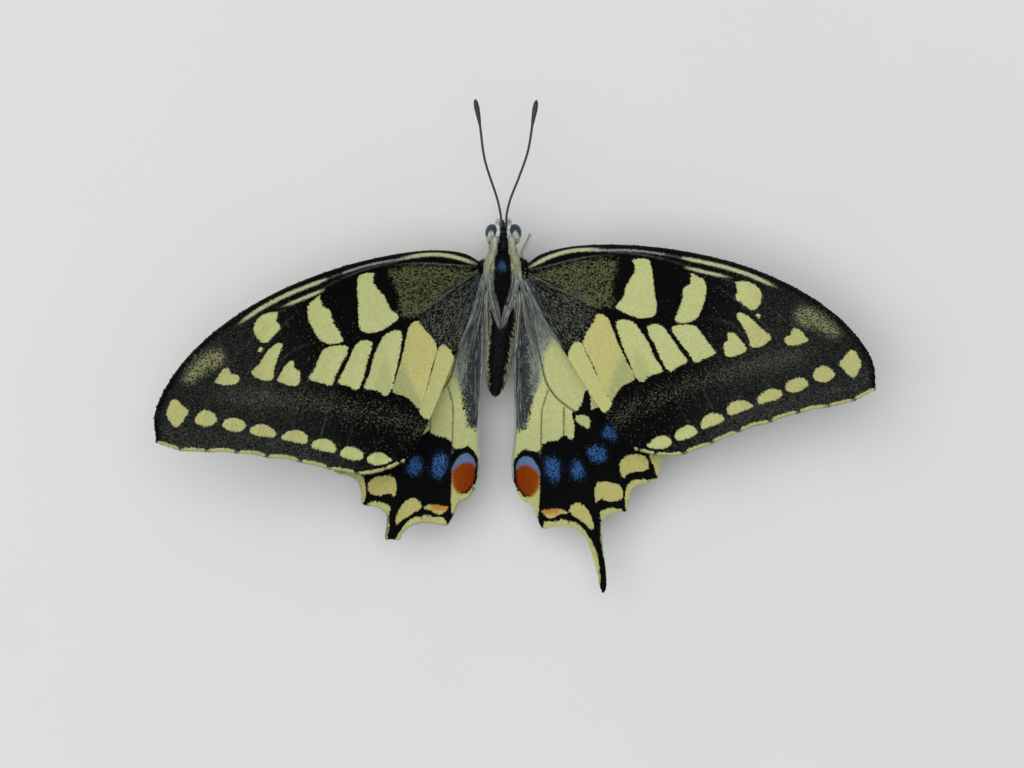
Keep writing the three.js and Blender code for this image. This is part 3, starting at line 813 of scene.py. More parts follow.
YELLOW_PATCHES = {
    "bar_inner": [(10.85, 4.6), (11.4, 4.95), (12.5, 5.2), (13.2, 4.3), (14.2, 2.3), (15.1, 0.5),
                  (15.1, -0.4), (13.6, -1.2), (12.2, -1.2), (10.8, -0.9), (11.2, 0.3), (11.1, 1.8),
                  (11.4, 3.1), (11.4, 3.9)],
    "bar_outer": [(17.35, 5.35), (18, 5.3), (19.1, 5), (19.7, 3.7), (19.8, 2.2), (19.7, 1.1), (19, 0.2),
                  (17.5, -0.2), (17.4, 1.1), (17.4, 2.5), (17.1, 3.3), (17.6, 4.2), (17.5, 4.9)],
    "subapical": [(22.3, 6), (23.8, 6.5), (25.1, 6.1), (25.6, 5.2), (25.4, 4), (25, 3.7), (23.5, 4.1),
                  (22.9, 4.3), (22.8, 5.3)],
    "dot": [(25.6, 3.4), (25.9, 3.6), (26.2, 3.3), (25.9, 3.1)],
    "long": [(23.5, 2.7), (23.8, 3), (25.1, 2.9), (26.7, 2.1), (28, 1.6), (27.6, 0.7), (26.8, 0),
             (26.3, -0.1), (25.5, 0.9), (24.5, 1.8)],
    "small": [(23.3, 0.4), (23.8, 0.7), (24.9, 0.2), (25.9, -0.5), (25.1, -1.5), (24.1, -2), (23.5, -1.3),
              (23.3, -0.8), (23.6, -0.2)],
    "apex": [(29.9, 3.3), (30.5, 3.4), (31.5, 2.9), (31.9, 2.6), (31.2, 1.9), (30.1, 1.4), (29.4, 1.7),
             (29.4, 2.1), (29.9, 2.5)],
    "cell_6": [(17.4, -0.9), (18.6, -0.2), (19.9, 0), (20.8, -0.6), (21.9, -1.4), (22.8, -2), (21.9, -3),
               (21, -3.8), (20.2, -3.2), (18.7, -2.2), (17.7, -1.5)],
    "cell_7": [(14.8, -1.8), (15.4, -1.2), (16.4, -1.2), (17.6, -2), (19, -3), (20.2, -3.9), (19.5, -4.7),
               (18.8, -5.6), (17.8, -5.1), (16.3, -3.5), (15.3, -2.6)],
    "cell_8": [(11.4, -2.4), (12, -1.9), (13.1, -1.8), (14.2, -2.4), (15.5, -3.4), (16.7, -4.7),
               (18, -5.8), (16.8, -6.8), (16.3, -7.7), (15.5, -7.5), (14.2, -6.1), (12.6, -4.3)],
    "cell_9": [(9.3, -2.2), (10.3, -2.3), (11.2, -3.2), (12.5, -4.7), (14, -6.2), (15.4, -7.7),
               (14.4, -8.8), (14, -9.7), (13.8, -10.7), (12.4, -9.8), (10.6, -7.8), (8.7, -5.8),
               (8.7, -4.5), (9, -3.3)],
    "cell_10": [(7.5, -7.1), (8.0, -5.9), (8.7, -6.0), (10, -7.35), (11.7, -9.0), (13.2, -10.3),
                (13.9, -11.1), (13.5, -12.2), (12.6, -12.4), (11.0, -11.2), (9.6, -10.0), (8.0, -8.6)],
    "edge_1": [(36.5, 3), (37, 3.2), (37.6, 2.7), (38.2, 2.1), (38.2, 1.2), (38, 0.4), (37.4, 0.4),
               (36.5, 0.9), (35.9, 1.3), (36.2, 2.1)],
    "edge_2": [(34.6, 0.6), (35.4, 0.4), (35.9, 0), (35.6, -0.7), (35.2, -1.1), (34.5, -1.3), (33.7, -1),
               (33.7, -0.2), (34.1, 0.3)],
    "edge_3": [(32.5, -1.5), (33.2, -1.6), (33.5, -1.9), (33.2, -2.6), (32.7, -3.1), (31.8, -3.4),
               (31.3, -3.2), (31.2, -2.7), (31.6, -2.1)],
    "edge_4": [(29.9, -3.7), (30.9, -3.6), (31.2, -3.9), (30.8, -4.6), (30, -5.2), (29.2, -5.7),
               (28.8, -5.5), (28.9, -4.8), (29.3, -4.2)],
    "edge_5": [(27.1, -6), (27.9, -5.9), (28.6, -6.2), (27.9, -6.9), (27.1, -7.6), (26.5, -8), (26, -7.5),
               (26.1, -6.8), (26.5, -6.3)],
    "edge_6": [(24.7, -8.4), (25.5, -8.2), (26.1, -8.6), (25.6, -9.3), (24.9, -9.9), (24.2, -10.4),
               (23.8, -10), (23.9, -9.1), (24.2, -8.7)],
    "edge_7": [(22.6, -10.5), (23.2, -10.5), (23.8, -10.9), (23.4, -11.6), (22.7, -12.2), (21.9, -12.5),
               (21.5, -12.1), (21.7, -11.4), (22.1, -10.9)],
    "edge_8": [(20.4, -12.5), (21.2, -12.6), (21.5, -13), (21, -13.8), (20, -14.2), (19, -14.2),
               (19.3, -13.6), (19.6, -13)],
}
OLIVE_CELL = [(0.8, -0.8), (4.3, 2.0), (8.1, 3.9), (9.4, 4.1), (9.6, 2.0), (9.9, 0.8), (10.6, -0.7),
              (9.2, -1.7), (5.5, -1.2), (2.0, -0.8)]
BEHIND_CELL = [(0.6, -1.3), (3.2, -1.5), (5.9, -1.3), (8.8, -1.9), (8.8, -4.2), (8.4, -5.9), (7.3, -7.0),
               (5.6, -6.8), (3.5, -5.0), (0.9, -2.4)]
APEX_DUST = [(29.5, 4.9), (29.9, 5.8), (31.6, 6.1), (33.7, 5.5), (35.0, 4.5), (34.4, 3.7), (31.9, 3.9),
             (30.3, 3.8)]
DUSTED_BAND = [(14.7, -12.9), (16.8, -10.3), (19.4, -7.9), (22.1, -5.5), (24.9, -3.6), (27.7, -1.6),
               (30.6, 0.1), (33.1, 1.4)]
SHADED_CORNER = [(14.3, -4.3), (17.3, -7.1), (15.7, -7.8)]
GREY_LINES = [
    {"line": [(6.6, 4.2), (10.3, 5.5), (13.4, 6.2), (16.7, 6.7)], "half": 0.12, "soft": 0.11, "share": 0.75},
    {"line": [(8, 4.5), (10, 5.1), (14, 5.8), (19, 5.9), (24, 6.0)], "half": 0.08, "soft": 0.1, "share": 0.3},
]
YELLOW_LINES = [
    ([(0.3, 0.1), (2.1, 1.9), (4.1, 3.3), (7.6, 4.7)], 0.2),
    ([(16.0, 6.6), (20.1, 7.12), (23.5, 7.22), (26.9, 6.92)], 0.2),
    ([(16.6, 5.7), (18.9, 5.95), (21.8, 6.3)], 0.17),
]
VEIN_ENDS = [(40.6, 0), (38.7, -1.9), (36.3, -3.5), (33.5, -5.15), (30.9, -7.1), (27.95, -9.3),
             (25.55, -11.5), (23.1, -13.5), (20.2, -14.8), (18.4, -15)]


def front_lines(x, y):
    """The thin lines along the front edge: their yellow and pale shares, and where they are even."""
    pale = most(*(line["share"] * streak(x, y, line["line"], line["half"], line["soft"])
                  for line in GREY_LINES))
    yellow, even = 0 * x, 1.0 * (pale > 0)
    for line, half in YELLOW_LINES:
        ends = smoothstep(0, 2.5, x - line[0][0] + 1.2) * smoothstep(0, 2.8, line[-1][0] - x + 0.8)
        glint = ends * streak(x, y, line, half * (0.4 + 0.6 * ends), 0.14)
        yellow = np.maximum(yellow, 0.95 * glint)
        pale = np.maximum(pale, 0.35 * glint)
        even = even + (glint > 0.02)
    return yellow, pale, even


def fore_ash_and_sheen(x, y, band, to_rim):
    """How grey the black scales of the outer half are: most at the margin, the band and the veins.  On
    the dusted band the grey is dust, and over the outer half and at the margin it is a painted sheen.
    """
    # Painted sheen: grey over the black of the outer half, most at the margin.
    ash = (0.18 + 0.16 * band + 0.2 * smoothstep(3.4, 1.0, to_rim)) * smoothstep(19, 29, x)
    for vein in FORE["veins"][:8]:
        ash = np.maximum(ash, 0.6 * streak(x, y, vein, 0.05, 0.3) * smoothstep(19, 24, x))
    return ash * smoothstep(0.2, 1.0, to_line(x, y, catmull(FORE["costa"], 6)))


def fore_warmth(x, y):
    """How darkened the outer ends of two yellow cells are, and how warm the yellow is."""
    tan = np.maximum(smoothstep(13.5, 12.6, x), smoothstep(-6.3, -5.3, y))
    shaded = patch(x, y, YELLOW_PATCHES["cell_9"], 0.05) * (1 - tan)
    shaded = np.maximum(shaded, 0.6 * patch(x, y, SHADED_CORNER, 0.35))
    warm = 0.75 * patch(x, y, YELLOW_PATCHES["cell_9"], 0.1) * tan
    warm = warm + 0.4 * patch(x, y, YELLOW_PATCHES["cell_10"], 0.1)
    return shaded, np.clip(np.maximum(warm, 0.45 * smoothstep(20, 30, x)), 0, 1)


def fore_fringe(x, y, to_rim):
    """How far each point is in the yellow rim, which is thin where a vein ends."""
    gap = np.min([np.hypot(x - end_x, y - end_y) for end_x, end_y in VEIN_ENDS], axis=0)
    depth = 0.1 + 0.19 * smoothstep(0.08, 0.5, gap)
    return smoothstep(depth + 0.05, depth - 0.05, to_rim)


def fore_marks(x, y, under):
    """The share of yellow, pale, blue and rust scales at each point of a forewing, how warm the yellow
    is, how dim or glowing the scales are, how grey with ash and painted sheen, and where all scales there
    share one even colour."""
    to_rim = to_line(x, y, rim_of(FORE, 6))
    yellow, pale, even = front_lines(x, y)
    yellow = most(yellow, *(patch(x, y, loop) for loop in YELLOW_PATCHES.values()))
    solid = np.clip(yellow + pale, 0, 1)
    behind = patch(x, y, BEHIND_CELL, 0.7)
    apex = patch(x, y, APEX_DUST, 0.9)
    band = np.exp(-((to_line(x, y, DUSTED_BAND) / 1.35) ** 2)) * smoothstep(35, 30, x)
    yellow = most(yellow, 0.8 * patch(x, y, OLIVE_CELL, 0.45), 0.24 * behind, 0.68 * apex, 0.3 * band)
    pale = most(pale, 0.42 * behind, 0.05 * apex, 0.22 * band)
    dim = (0.84 + 0.05 * smoothstep(10, 16, x)) * (1 - solid) * (1 - 0.38 * apex)
    dim = np.maximum(dim, 0.09 * smoothstep(23, 28, x))
    for vein in FORE["veins"][:2]:
        lined = streak(x, y, vein, 0.05) * smoothstep(10, 4, x)
        pale = np.maximum(pale, 0.6 * lined)
        dim = dim * (1 - 0.35 * lined)
        even = even + (lined > 0.02)
    thin = 0.08 * smoothstep(14, 20, x) * (yellow < 0.05)
    fringe = fore_fringe(x, y, to_rim)
    yellow = most(yellow, thin, fringe)
    dim = np.minimum(np.maximum(dim, 0.88 * (thin > 0)), 1 - 0.9 * fringe)
    shaded, warm = fore_warmth(x, y)
    dim = np.maximum(dim, 0.26 * shaded)
    if under:
        yellow = np.maximum(yellow, 0.5 * smoothstep(0.1, 0.5, to_rim))
        dim = 0.35 * dim
    return {"yellow": yellow, "pale": pale, "blue": 0 * x, "rust": 0 * x, "warm": warm, "dim": dim,
            "even": np.minimum(even, 1), "ember": 0 * x, "ash": fore_ash_and_sheen(x, y, band, to_rim)}


GROUND = [(0.001, 0.001, 0.0013, 1), (0.005, 0.0055, 0.0055, 1)]
LEMON = [(0.52, 0.54, 0.215, 1), (0.56, 0.58, 0.26, 1)]
OCHRE = (0.56, 0.50, 0.175, 1)
SCALE_BLACK = (0.002, 0.002, 0.002, 1)
SCALE_COLOURS = {"pale": (0.45, 0.49, 0.43, 1), "blue": (0.040, 0.145, 0.38, 1), "dim": SCALE_BLACK,
                 "rust": (0.225, 0.028, 0.0005, 1), "ember": (0.5, 0.18, 0.015, 1)}


def wing_colour(tree):
    """Blue-black ground with the scale colours laid over it."""
    cloud = noise(tree, 260, 2)
    yellow = mix(value_of(tree, "warm"), mix(cloud, *LEMON), OCHRE)
    colour = mix(value_of(tree, "yellow"), mix(cloud, *GROUND), yellow)
    for layer, tint in SCALE_COLOURS.items():
        colour = mix(value_of(tree, layer), colour, tint)
    return colour


def membrane_paint(tree):
    return {"Base Color": wing_colour(tree), "Normal": bump(noise(tree, 12000), 0.3, 1e-5)}


def scale_paint(tree):
    grain = value_of(tree, "grain")
    colour = mix(grain * 0.23, wing_colour(tree), SCALE_BLACK)
    return {"Base Color": colour, "Roughness": 0.55 + grain * 0.25}


membrane = finish_of("wing_membrane", membrane_paint, Roughness=0.6, Specular_IOR_Level=0.1)
scale_finish = finish_of("wing_scales", scale_paint, Specular_IOR_Level=0.025)


def scattered(loop, spacing, rng):
    """Places in jittered rows inside a loop."""
    low, high = loop.min(0), loop.max(0)
    ys = np.arange(low[1], high[1], spacing * 0.866)
    xs = np.arange(low[0], high[0], spacing)
    gx, gy = np.meshgrid(xs, ys)
    gx = gx + (np.arange(len(ys)) % 2)[:, None] * spacing / 2
    gx, gy = gx.ravel(), gy.ravel()
    gx = gx + rng.uniform(-0.3, 0.3, gx.size) * spacing
    gy = gy + rng.uniform(-0.3, 0.3, gy.size) * spacing
    keep = to_loop(gx, gy, loop) > 0.03
    return gx[keep], gy[keep]


def chosen(shares, rng):
    """Gives each scale one colour, drawn by the shares of colours at its place.  Where the shares are
    even, every scale has the mixed colour instead, and ash and painted sheen grey the scales that stay black."""
    draw = rng.random(len(shares["yellow"]))
    out, floor = {}, 0
    for key in ("blue", "yellow", "pale"):
        share = np.minimum(shares[key], 1 - floor)
        taken = ((draw >= floor) & (draw < floor + share)).astype(float)
        out[key] = np.where(shares["even"] > 0.5, shares[key], taken)
        floor = floor + share
    # Scales that stay black are greyed by ash and by painted sheen.
    out["pale"] = np.maximum(out["pale"], shares["ash"] * (out["yellow"] + out["blue"] == 0))
    out["rust"] = shares["rust"] * rng.uniform(0.9, 1.0, len(draw))
    out["ember"] = shares["ember"]
    out["warm"] = shares["warm"] * out["yellow"]
    flecked = (out["blue"] > 0) * rng.uniform(-0.25, 0.55, len(draw))
    out["dim"] = np.clip(shares["dim"] * rng.uniform(0.75, 1.15, len(draw)) + flecked, 0, 1)
    return out


SCALE_ROWS = {"upper": {"face": 1, "spacing": 0.118, "width": 0.165, "length": 0.275},
              "under": {"face": -1, "spacing": 0.19, "width": 0.27, "length": 0.42}}
SCALE_CLEARANCE = 0.03
SCALE_LIFT = np.array([0.018, 0.018, 0.034, 0.018])
SCALE_TILT = np.array([-0.006, -0.006, 0.012, -0.006])


def scale_coat(name, shape, loops, marks, pose, row, seed):
    """A face of scales: flat closed kites, each with its root under the tips of the row before."""
    rng = np.random.default_rng(seed)
    face = row["face"]
    x, y = (np.concatenate(v) for v in zip(*(scattered(loop, row["spacing"], rng) for loop in loops)))
    jitter = rng.normal(0, 0.03, (2, x.size))
    layers = chosen(marks(x + jitter[0], y + jitter[1], face < 0), rng)
    layers["grain"] = rng.random(x.size)
    angle = np.arctan2(y - 0.3 * np.sign(y), x + 2.0) + rng.normal(0, 0.12, x.size)
    dusted = layers["dim"] * np.maximum(layers["yellow"], layers["pale"])
    small = np.where(dusted > 0.58, 0.55, np.where(dusted > 0.25, 0.8, 1.0))
    small = np.where(layers["blue"] > 0, 0.6, small)
    length = (row["length"] * rng.uniform(0.85, 1.15, x.size) * small)[:, None]
    width = (row["width"] * rng.uniform(0.85, 1.1, x.size) * small)[:, None]
    ahead = np.stack([np.cos(angle), np.sin(angle)], 1)
    aside = np.stack([ahead[:, 1], -ahead[:, 0]], 1)
    root = np.stack([x, y], 1) - ahead * length / 2
    middle = root + ahead * length * 0.6
    corners = [root, middle + aside * width / 2, root + ahead * length, middle - aside * width / 2]
    flat = np.stack(corners, 1).reshape(-1, 2)
    lift = SCALE_LIFT * rng.uniform(0.7, 1.3, x.size)[:, None] + SCALE_TILT
    height = relief(shape, flat[:, 0], flat[:, 1]) + face * (SCALE_CLEARANCE + lift.ravel())
    kite = np.array([[0, 1, 2], [0, 2, 3], [0, 3, 1], [2, 1, 3]])
    if face * pose["side"] < 0:
        kite = kite[:, ::-1]
    faces = (np.arange(x.size)[:, None, None] * 4 + kite).reshape(-1, 3)
    uv = charted(np.stack([x, y], 1), np.array([[-1, 0], [0, -1], [1, 0], [0, 1]]) * PATCH_RADIUS)
    layers = {key: np.repeat(values, 4) for key, values in layers.items()}
    verts = hinged(np.column_stack([flat, height]), pose)
    make(name, verts, faces, scale_finish, "wing_scales", layers, uv, smooth=False)


COSTA_INSET = 0.12
COSTA_RADII = [(0, 0.16), (0.5, 0.11), (1, 0.05)]
VEIN_RADII = [(0, 0.085), (1, 0.03)]
VEIN_DEPTH = 0.075
MEMBRANE_THICKNESS = 6e-5


def vein_tubes(shape):
    """The stiff front vein just inside the edge, and the finer veins, sunk in the membrane."""
    front = spaced(catmull(shape["costa"], 10), 90)
    front = front + unit(np.gradient(front, axis=0))[:, ::-1] * (1, -1) * COSTA_INSET
    runs = [(front, COSTA_RADII, 0.0, 10)]
    runs += [(spaced(catmull(vein, 8), 40), VEIN_RADII, VEIN_DEPTH, 8) for vein in shape["veins"]]
    tubes = []
    for line, radii, depth, sides in runs:
        spine = np.column_stack([line, relief(shape, line[:, 0], line[:, 1]) - depth])
        tubes.append(loft(spine, profile(np.linspace(0, 1, len(line)), *radii), across=UP, sides=sides))
    return joined(tubes)


def wing(name, shape, marks, seed, tail=None):
    """A membrane with its veins, and a coat of scales on each face.  A tail is a grid of points."""
    pose = WINGS[name]
    grids, loops = [blade_grid(shape)], [outline_of(shape)]
    if tail is not None:
        grids.append(tail)
        loops.append(np.vstack([tail[:, 0], tail[::-1, -1]]))
    flat, faces = joined([(grid.reshape(-1, 2), grid_faces(*grid.shape[:2])) for grid in grids])
    if pose["side"] > 0:
        faces = faces[:, ::-1]
    x, y = flat.T
    points = hinged(np.column_stack([flat, relief(shape, x, y)]), pose)
    sheet = make(f"{name}_membrane", points, faces, membrane, "wing_scales", marks(x, y, False))
    apply_to(sheet, ("WELD", {"merge_threshold": 2e-6}),
             ("SOLIDIFY", {"thickness": MEMBRANE_THICKNESS, "offset": 0.0}), ("TRIANGULATE", {}))
    tubes, tube_faces = vein_tubes(shape)
    if pose["side"] < 0:
        tube_faces = tube_faces[:, ::-1]
    shades = marks(tubes[:, 0], tubes[:, 1], False)
    shades["dim"] = np.maximum(shades["dim"], 0.8)
    make(f"{name}_veins", hinged(tubes, pose), tube_faces, membrane, "wing_scales", shades)
    for number, (where, row) in enumerate(SCALE_ROWS.items()):
        scale_coat(f"{name}_scales_{where}", shape, loops, marks, pose, row, seed + number)
    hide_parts(name, *([] if tail is None else ["tail_R"]))
    made_wings[name] = (shape, marks, pose)
    wing_sheets.append((points, faces))


made_wings, wing_sheets = {}, []
for name, seed in (("forewing_R", 11), ("forewing_L", 21)):
    wing(name, FORE, fore_marks, seed)

# ---- hindwings ----
# The hindwings are built like the forewings.  Each is drawn out behind into a black tail, with a row
# of blue dusted spots and a red eyespot before the margin.  The left tail has been broken off.


def hind_arch(x, y):
    """The hindwing is flat, and its inner edge droops beside the body."""
    return -0.08 * np.maximum(1.2 - x, 0) ** 2


HIND = {
    "costa": [(0.45, 0.9), (3, 1.6), (7.5, 0.2), (12, -4), (15.5, -9), (17, -14)],
    "outer": [(17, -14), (17.3, -15.6), (16.8, -17.2), (16.1, -18.7), (15.3, -19.5), (15.1, -20.9),
              (14.6, -21.5), (13.1, -21.8), (12.2, -22.4), (11.8, -23.4), (11.6, -24.8), (10.3, -25),
              (9.3, -25.4), (8.8, -26.2), (8.9, -28.6), (7.4, -28.6), (7.1, -27.8), (6.2, -27), (5, -26.6),
              (3.6, -26.6), (2.3, -26.8), (1.7, -25.7), (1, -24.1), (0.1, -23.7), (-0.6, -22.6)],
    "inner": [(0.35, -2.2), (-0.4, -4.6), (-0.7, -7.5), (-0.7, -12), (-0.65, -15.6), (-1, -18.5),
              (-1.15, -20.6), (-0.6, -22.6)],
    "corners": [9, 10],
    "veins": [
        [(1.0, -2.0), (1.4, -5.2), (1.85, -7.3), (2.2, -8.8), (2.65, -10.6), (3.8, -12.3), (5.7, -13.8)],
        [(2.8, -11.5), (2.2, -13.6), (2.1, -16.0), (2.0, -23.7), (2.0, -26.1)],
        [(4.6, -13.4), (4.6, -16.4), (4.9, -20.4), (5.1, -26.2)],
        [(5.6, -13.9), (5.8, -14.9), (6.6, -18.7), (7.5, -22.6), (8.3, -28.4)],
        [(7.3, -13.0), (9.2, -17.1), (10.3, -20.4), (11.7, -24.4)],
        [(7.6, -11.6), (10.8, -14.9), (13.0, -18.2), (14.9, -21.0)],
        [(1.0, -0.6), (5.0, -3.5), (7.6, -11.6)],
        [(1.0, -0.2), (7.0, -1.8), (12.5, -8.5), (16.2, -17.8)],
    ],
    "arch": hind_arch, "rows": 110, "steps": 6,
}
BLACK_BAND = [(2.1, -18.4), (2.2, -17.5), (2.9, -17.1), (3.9, -17), (4.7, -16.4), (5.3, -16.9),
              (5.7, -16.8), (5.8, -15.4), (5.5, -14.4), (5.5, -13.9), (6.2, -13.6), (6.6, -12.7),
              (6.9, -11.7), (7.2, -11.4), (7.5, -12.2), (7.6, -13.6), (8.6, -13.3), (10, -12.2),
              (13, -10.8), (18, -10), (19, -16), (18, -27), (10, -37), (1.5, -37), (1.75, -26), (1.95, -23),
              (2.0, -19.5)]
EYE_RING = [(2.05, -19.2), (1.7, -18.4), (0.9, -18.15), (0.2, -18), (-0.3, -18.4), (-0.8, -19.1),
            (-1.0, -20.4), (-0.9, -21.6), (-0.4, -22.6), (0.3, -23.3), (1.2, -22.8), (1.9, -21.4)]
RED_SPOT = [(-0.5, -20.05), (0.35, -19.75), (1.1, -20.05), (1.75, -20.65), (1.9, -21.4), (1.8, -22.3),
            (1.4, -23.0), (0.8, -23.35), (0.15, -23.0), (-0.35, -22.3), (-0.6, -21.1)]
RED_NOTCH = [(-0.2, -22.5), (0.3, -23.0), (0.8, -23.15)]
CRESCENT = [(-0.6, -20.3), (-0.4, -19.4), (0.3, -18.85), (1.0, -19.05), (1.5, -19.6), (1.95, -20.5),
            (1.9, -21.0), (1.1, -20.15), (0.3, -19.9)]
BLUE_DUST = [
    [(2.3, -19.3), (3.1, -18.6), (4, -19.1), (4.5, -20.1), (4.4, -21.1), (3.5, -21.9), (2.6, -21.1)],
    [(5.2, -20), (6.1, -19), (6.7, -19.5), (7.1, -20.4), (6.7, -21.5), (5.7, -21.5), (5.2, -20.7)],
    [(7.1, -18), (8, -17.3), (9, -17.6), (9.6, -18.4), (9.2, -19.3), (8.2, -19.7), (7.3, -19)],
    [(8.8, -15.8), (9.6, -15), (10.4, -15.8), (10.7, -16.8), (9.9, -17.1), (8.9, -16.8)],
]
ORANGE_LUNULE = [(2.2, -24.8), (3, -24.7), (3.7, -24.6), (4.5, -24.7), (5, -25.1), (4.2, -25.2),
                 (3.3, -25.7), (2.5, -25.4)]
LUNULES = [
    (1.0, ORANGE_LUNULE),
    (1.0, [(5.1, -24.8), (5.6, -24.1), (6.3, -24), (7.1, -24.5), (7.6, -25.4), (7.9, -26.4), (7.8, -27),
           (7.1, -26.4), (6.1, -25.7), (5.3, -25.1)]),
    (1.0, [(8.2, -23.9), (8, -22.8), (8.2, -21.9), (8.6, -21.6), (9.7, -21.7), (10.6, -21.9),
           (11.1, -22.5), (11.1, -23.3), (10.7, -23.7), (9.5, -23.8), (8.7, -23.5)]),
    (1.0, [(11.2, -21.2), (10.8, -20.2), (10.9, -19.3), (11.8, -18.7), (13, -18.6), (13.7, -18.9),
           (14, -19.7), (13.8, -20.3), (12.6, -20.5), (11.7, -20.7)]),
    (0.0, [(6, -14.3), (6.7, -14.2), (7.3, -14.4), (7.5, -15.1), (7.3, -15.7), (6.4, -15.2),
           (5.9, -14.8)]),
    (0.5, [(1.9, -20.9), (1.9, -22.6), (1.8, -24.3), (1.5, -25.7), (1.1, -24.7), (0.8, -24.3), (0, -24),
           (-0.7, -22.8), (-0.4, -22.6), (0.3, -23.4), (1.2, -23.0)]),
    (0.5, [(2.3, -26.7), (2.5, -26.1), (3.7, -26), (4.5, -25.8), (5.2, -26), (6, -26.2), (6.8, -26.9),
           (7.6, -28.1), (8.2, -29.4), (8.5, -30.9), (8.6, -33.2), (8.2, -33.4), (7.4, -31), (7, -29),
           (6, -27.8), (4, -27.3), (2.3, -27.4)]),
    (0.5, [(8.6, -25), (9.6, -24.6), (10.7, -24.6), (11.2, -24.9), (11.9, -25.6), (10.3, -25.6),
           (9.5, -26), (9.3, -27), (9.2, -28.5), (9.3, -29.9), (9, -29.9), (8.8, -28.7), (8.6, -27),
           (8.7, -25.9)]),
    (0.5, [(11.5, -22.3), (11.9, -21.7), (13, -21.3), (14.1, -21.4), (14.9, -21.2), (15.2, -22),
           (13.2, -22.5), (12.4, -23), (12.1, -23.8), (12.0, -25), (11.5, -24.7), (11.4, -23.5)]),
    (0.5, [(14.1, -18.5), (14.8, -18.4), (15.8, -18.4), (17, -18.4), (16.4, -19.5), (15.8, -21.2),
           (15, -21.1), (14.6, -20)]),
]
INNER_BAND = [(-0.9, -3.5), (0.1, -3.4), (0.7, -7.0), (1.0, -10.5), (1.1, -12.7), (0.7, -14.3),
              (0.2, -15.9), (-0.4, -15.6), (-0.9, -14.6), (-1.0, -9)]
DUST_LIMIT = [(2, 2.6), (5, 3.9), (6.1, 3.7), (7.5, 2.8), (9.2, 2.7), (10.4, 2.5), (11.4, 2.1),
              (13, 1.4), (14.5, 0.9), (16, 0.2), (17.5, -1.2)]
DARK_VEINS = [(HIND["veins"][0], 0.12), (HIND["veins"][1], 0.09), (HIND["veins"][2], 0.09)]


def eyespot(x, y):
    """The red spot, how orange it glows towards its outer side, and the blue crescent before it."""
    red = patch(x, y, RED_SPOT, 0.2)
    glow = red * (0.03 + 0.12 * smoothstep(-0.3, 1.9, x))
    return red, glow, patch(x, y, CRESCENT, 0.16)


def hind_marks(x, y, under):
    """The same shares as on a forewing, for the hindwing: a black band with blue dust and yellow
    lunules, an eyespot, and a dusted, hairy inner edge."""
    ring = patch(x, y, EYE_RING)
    black = np.maximum(smoothstep(-0.07, 0.07, to_loop(x, y, BLACK_BAND)), ring)
    inner = patch(x, y, INNER_BAND, 0.4)
    limit = profile(-y, *DUST_LIMIT)
    edge = (1 - smoothstep(limit - 0.9, limit, x)) * (1 - black)
    frosted = smoothstep(-14, -9, y)
    yellow = (1 - black) * (1 - 0.95 * inner) * (1 - (0.45 + 0.35 * frosted) * edge)
    warm = 0 * x
    for warmth, loop in LUNULES:
        spot = patch(x, y, loop)
        yellow = np.maximum(yellow, spot)
        warm = np.maximum(warm, warmth * spot)
    dim = most(0.5 * (1 - yellow), 0.1 * black, 0.24 * edge, 0.58 * inner)
    for vein, half in DARK_VEINS:
        dim = np.maximum(dim, 0.85 * streak(x, y, vein, half, 0.1))
    blue = 0 * x
    for loop in BLUE_DUST:
        glow = patch(x, y, loop, 1.2, 1.4)
        blue = np.maximum(blue, 0.85 * smoothstep(0.1, 0.85, glow))
        faded = np.minimum(0.9, 0.22 + 0.75 * (1 - smoothstep(0.25, 0.9, glow)))
        dim = np.where(glow > 0.01, faded, dim)
    rust, ember, crescent = eyespot(x, y)
    orange = 0.8 * patch(x, y, ORANGE_LUNULE) * smoothstep(-25.4, -25.0, y) * smoothstep(4.5, 3.7, x)
    notch = streak(x, y, RED_NOTCH, 0.07)
    rust = rust * (1 - notch)
    pale = 0.12 * inner + 0.78 * frosted * edge * (1 - inner) + crescent
    blue = np.where(crescent > 0, 0.82 * crescent, blue * (1 - ring))
    yellow = yellow * (1 - notch) * (1 - blue)
    dim = np.maximum(dim, 0.1 * smoothstep(-13, -17, y) * (1 - black)) * (1 - crescent) * (1 - rust)
    if under:
        yellow = np.maximum(yellow, 0.3 * (1 - blue))
        dim = 0.5 * dim
    return {"yellow": yellow, "pale": pale, "blue": blue, "rust": rust, "warm": warm, "dim": dim,
            "even": 1.0 * (crescent > 0), "ember": np.maximum(orange, ember),
            "ash": 0.2 * np.maximum(inner, edge)}


TAIL_INNER = [(7.4, -28.6), (7.6, -29.2), (8.0, -30.5), (8.4, -31.9), (8.59, -33.0), (8.8, -33.7),
              (8.97, -34.0)]
TAIL_OUTER = [(8.9, -28.6), (8.93, -29.1), (9.1, -30.3), (9.27, -31.8), (9.32, -33.0), (9.2, -33.7),
              (9.0, -34.0)]
tail_inner, tail_outer = (spaced(catmull(side, 10), 60) for side in (TAIL_INNER, TAIL_OUTER))
share = np.linspace(0, 1, 7)[None, :, None]
tail_grid = tail_inner[:, None] * (1 - share) + tail_outer[:, None] * share
for name, seed, tail in (("hindwing_R", 31, tail_grid), ("hindwing_L", 41, None)):
    wing(name, HIND, hind_marks, seed, tail)

# ---- fringes ----
# The wings' outer edges carry a fringe of fine hair scales in the plane of the wing, cream between
# the veins and black where a vein ends.
FRINGE_SPACING = 0.04


def fringe_roots(rim, middle):
    """Places along a rim, two hairs at each, and the way out from the wing's middle there."""
    gone = np.linalg.norm(np.diff(rim, axis=0), axis=1).sum()
    base = np.repeat(spaced(rim, int(gone / FRINGE_SPACING)), 2, axis=0)
    along = unit(np.gradient(base, axis=0))
    out = np.stack([along[:, 1], -along[:, 0]], 1)
    return base, out * np.sign(((base - middle) * out).sum(1).sum())


